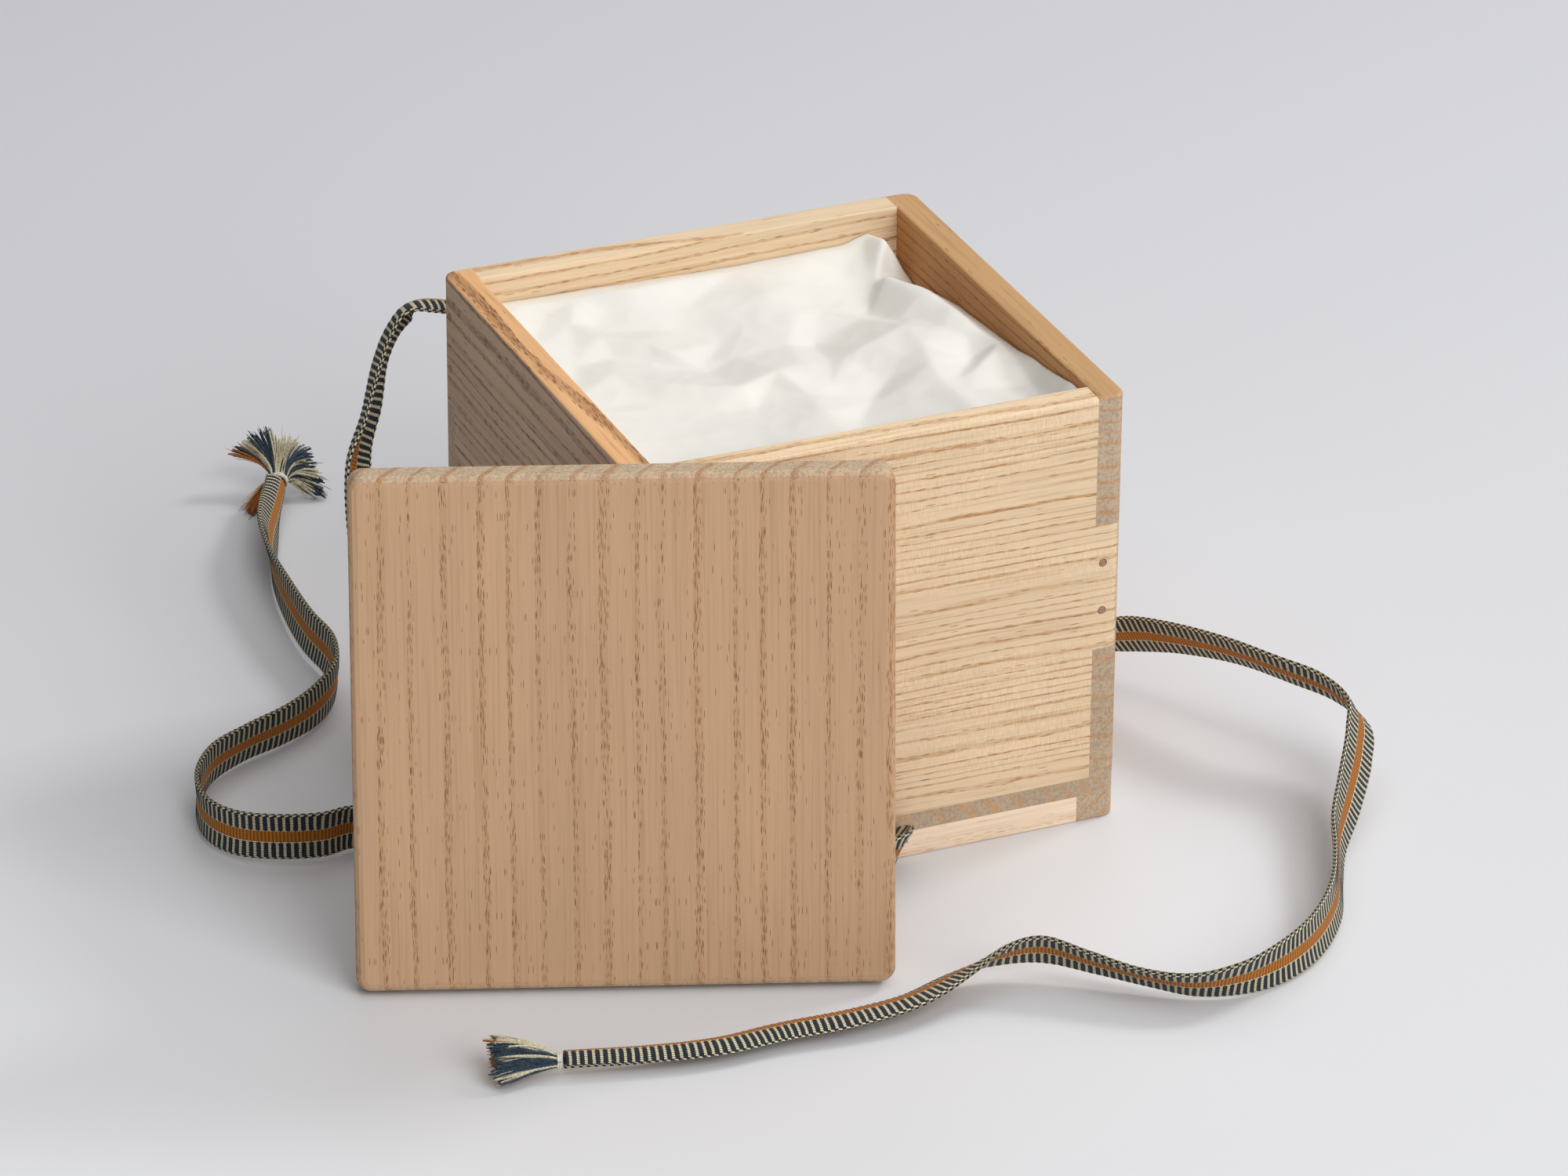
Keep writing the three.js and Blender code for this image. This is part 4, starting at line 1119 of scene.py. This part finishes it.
def paper_height(x, y):
    """The top's height above the floor: its slack, its folds and its dents."""
    u = (x / PAPER_HALF_WIDTH + 1) / 2
    v = (y / PAPER_HALF_DEPTH + 1) / 2
    rise = between(between(*FRONT_RISES, u), between(*BACK_RISES, u), v)
    sag = PAPER_SAG * 16 * u * (1 - u) * v * (1 - v)
    slack = RIM_HEIGHT / MM - PAPER_BELOW_RIM + rise - sag
    folds = fold_height(x, y) * PAPER_FOLD_SHARE
    return slack + folds - dents(x, y, *LARGE_DENTS) - dents(x, y, *SMALL_DENTS)


def paper_material():
    shader = Shader("paper")
    places = shader.places()["Object"]
    fibre = shader.noise(places, (900, 900, 900), (0, 0, 0), 3.0)
    cloud = shader.noise(places, (45, 45, 45), (0, 0, 0), 2.0)
    normal = shader.bump(shader.add(fibre, shader.times(cloud, 2.0)), 0.05 * MM, 0.5)
    color = shader.mix(cloud, rgb(234, 232, 224), rgb(242, 240, 234))
    return shader.finish(color, 0.45, 0.35, normal, sheen=0.1)


def paper_top():
    """Vertices, faces and rim of the crumpled top, which is a grid of even cells."""
    steps = PAPER_CELLS + 1
    across = np.linspace(-PAPER_HALF_WIDTH, PAPER_HALF_WIDTH, steps)
    deep = np.linspace(-PAPER_HALF_DEPTH, PAPER_HALF_DEPTH, steps)
    x, y = np.meshgrid(across, deep)
    vertices = np.stack([x, y, paper_height(x, y)], axis=-1).reshape(-1, 3)
    index = np.arange(steps * steps).reshape(steps, steps)
    faces = np.stack([index[:-1, :-1], index[:-1, 1:], index[1:, 1:], index[1:, :-1]], axis=-1)
    rim = np.concatenate([index[0, :-1], index[:-1, -1], index[-1, :0:-1], index[:0:-1, 0]])
    return vertices, faces.reshape(-1, 4).tolist(), rim


def paper_sides(top, rim):
    """Vertices and faces of the sides that hang from the top's rim down to the base."""
    vertices, faces = [], []
    upper = rim
    for k in range(1, PAPER_WALL_STEPS + 1):
        ring = top[rim]
        ring[:, 2] += (PAPER_BASE - ring[:, 2]) * k / PAPER_WALL_STEPS
        lower = np.arange(len(rim)) + len(top) + (k - 1) * len(rim)
        vertices.append(ring)
        corners = [upper, lower, np.roll(lower, -1), np.roll(upper, -1)]
        faces.extend(np.stack(corners, axis=-1).tolist())
        upper = lower
    return vertices, faces


def add_paper():
    """A sheet that lines the walls and lies crumpled on top."""
    top, top_faces, rim = paper_top()
    sides, side_faces = paper_sides(top, rim)
    sheet = mesh_object("paper_sheet", to_frame(np.vstack([top, *sides])), top_faces + side_faces)
    sheet.data.materials.append(paper_material())
    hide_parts("wrapping_paper")
    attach(sheet, "wrap")


# Studio, in metres

LAMP_TARGET = BOX_CENTRE + Vector((0, 0, 0.06))

# Each lamp: the way to it, its distance, its size and how light it makes a surface that faces it
LAMPS = {
    "right": ((0.77, 0.15, 0.62), 4.0, 0.9, 0.3),
    "back": ((0.44, 0.53, 0.73), 4.0, 3.2, 0.22),
    "top": ((-0.1, -0.15, 1.0), 2.6, 2.8, 0.34),
    "front": ((0.17, -0.8, 0.57), 3.2, 2.2, 0.61),
}
WORLD_LIGHT = 0.1
FLOOR_REACH = 6.0
# The floor's colours carry painted light on the left and painted shade far behind.
FLOOR_NEAR = rgb(227, 228, 231)
FLOOR_LEFT_PAINTED_LIGHT = rgb(246, 247, 250)
FLOOR_FAR_PAINTED_SHADE = rgb(206, 205, 211)
PAINTED_SHADE_FAR_STEP = (-0.5, 1.6)
PAINTED_LIGHT_LEFT_STEP = (0.0, -0.4)
PAINTED_LIGHT_FRONT_STEP = (0.3, -0.2)


def add_lamp(name, direction, distance, size, level):
    """A soft square lamp that lights a white surface facing it to the given level."""
    data = bpy.data.lights.new(name, "AREA")
    data.shape = "SQUARE"
    data.size = size
    data.energy = level * math.pi ** 2 * distance ** 2
    lamp = bpy.data.objects.new(name, data)
    toward = Vector(direction).normalized()
    lamp.location = LAMP_TARGET + toward * distance
    lamp.rotation_euler = toward.to_track_quat("Z", "Y").to_euler()
    bpy.context.scene.collection.objects.link(lamp)


def add_lights():
    for name, lamp in LAMPS.items():
        add_lamp(name, *lamp)
    world = bpy.data.worlds.new("studio")
    world.use_nodes = True
    background = world.node_tree.nodes["Background"]
    background.inputs["Color"].default_value = (1.0, 1.0, 1.0, 1.0)
    background.inputs["Strength"].default_value = WORLD_LIGHT
    bpy.context.scene.world = world


def floor_material():
    """White paper, lighter on the left as painted light and darker far behind as painted shade."""
    shader = Shader("floor")
    split = shader.split(shader.places()["Object"])
    # Painted light: lighter on the left, towards the front; painted shade: darker far behind.
    left = shader.times(shader.ramp(split["X"], *PAINTED_LIGHT_LEFT_STEP), shader.ramp(split["Y"], *PAINTED_LIGHT_FRONT_STEP))
    near = shader.mix(left, FLOOR_NEAR, FLOOR_LEFT_PAINTED_LIGHT)
    color = shader.mix(shader.ramp(split["Y"], *PAINTED_SHADE_FAR_STEP), near, FLOOR_FAR_PAINTED_SHADE)
    return shader.finish(color, 0.6, 0.2)


def add_floor():
    reach = FLOOR_REACH
    corners = [(-reach, -reach, 0), (reach, -reach, 0), (reach, reach, 0), (-reach, reach, 0)]
    floor = mesh_object("floor", corners, [(0, 1, 2, 3)])
    floor.data.materials.append(floor_material())


# Scene

bpy.context.scene.view_settings.view_transform = "Standard"
add_camera()
add_cord()
add_paper()
dress_woods()
add_floor()
add_lights()
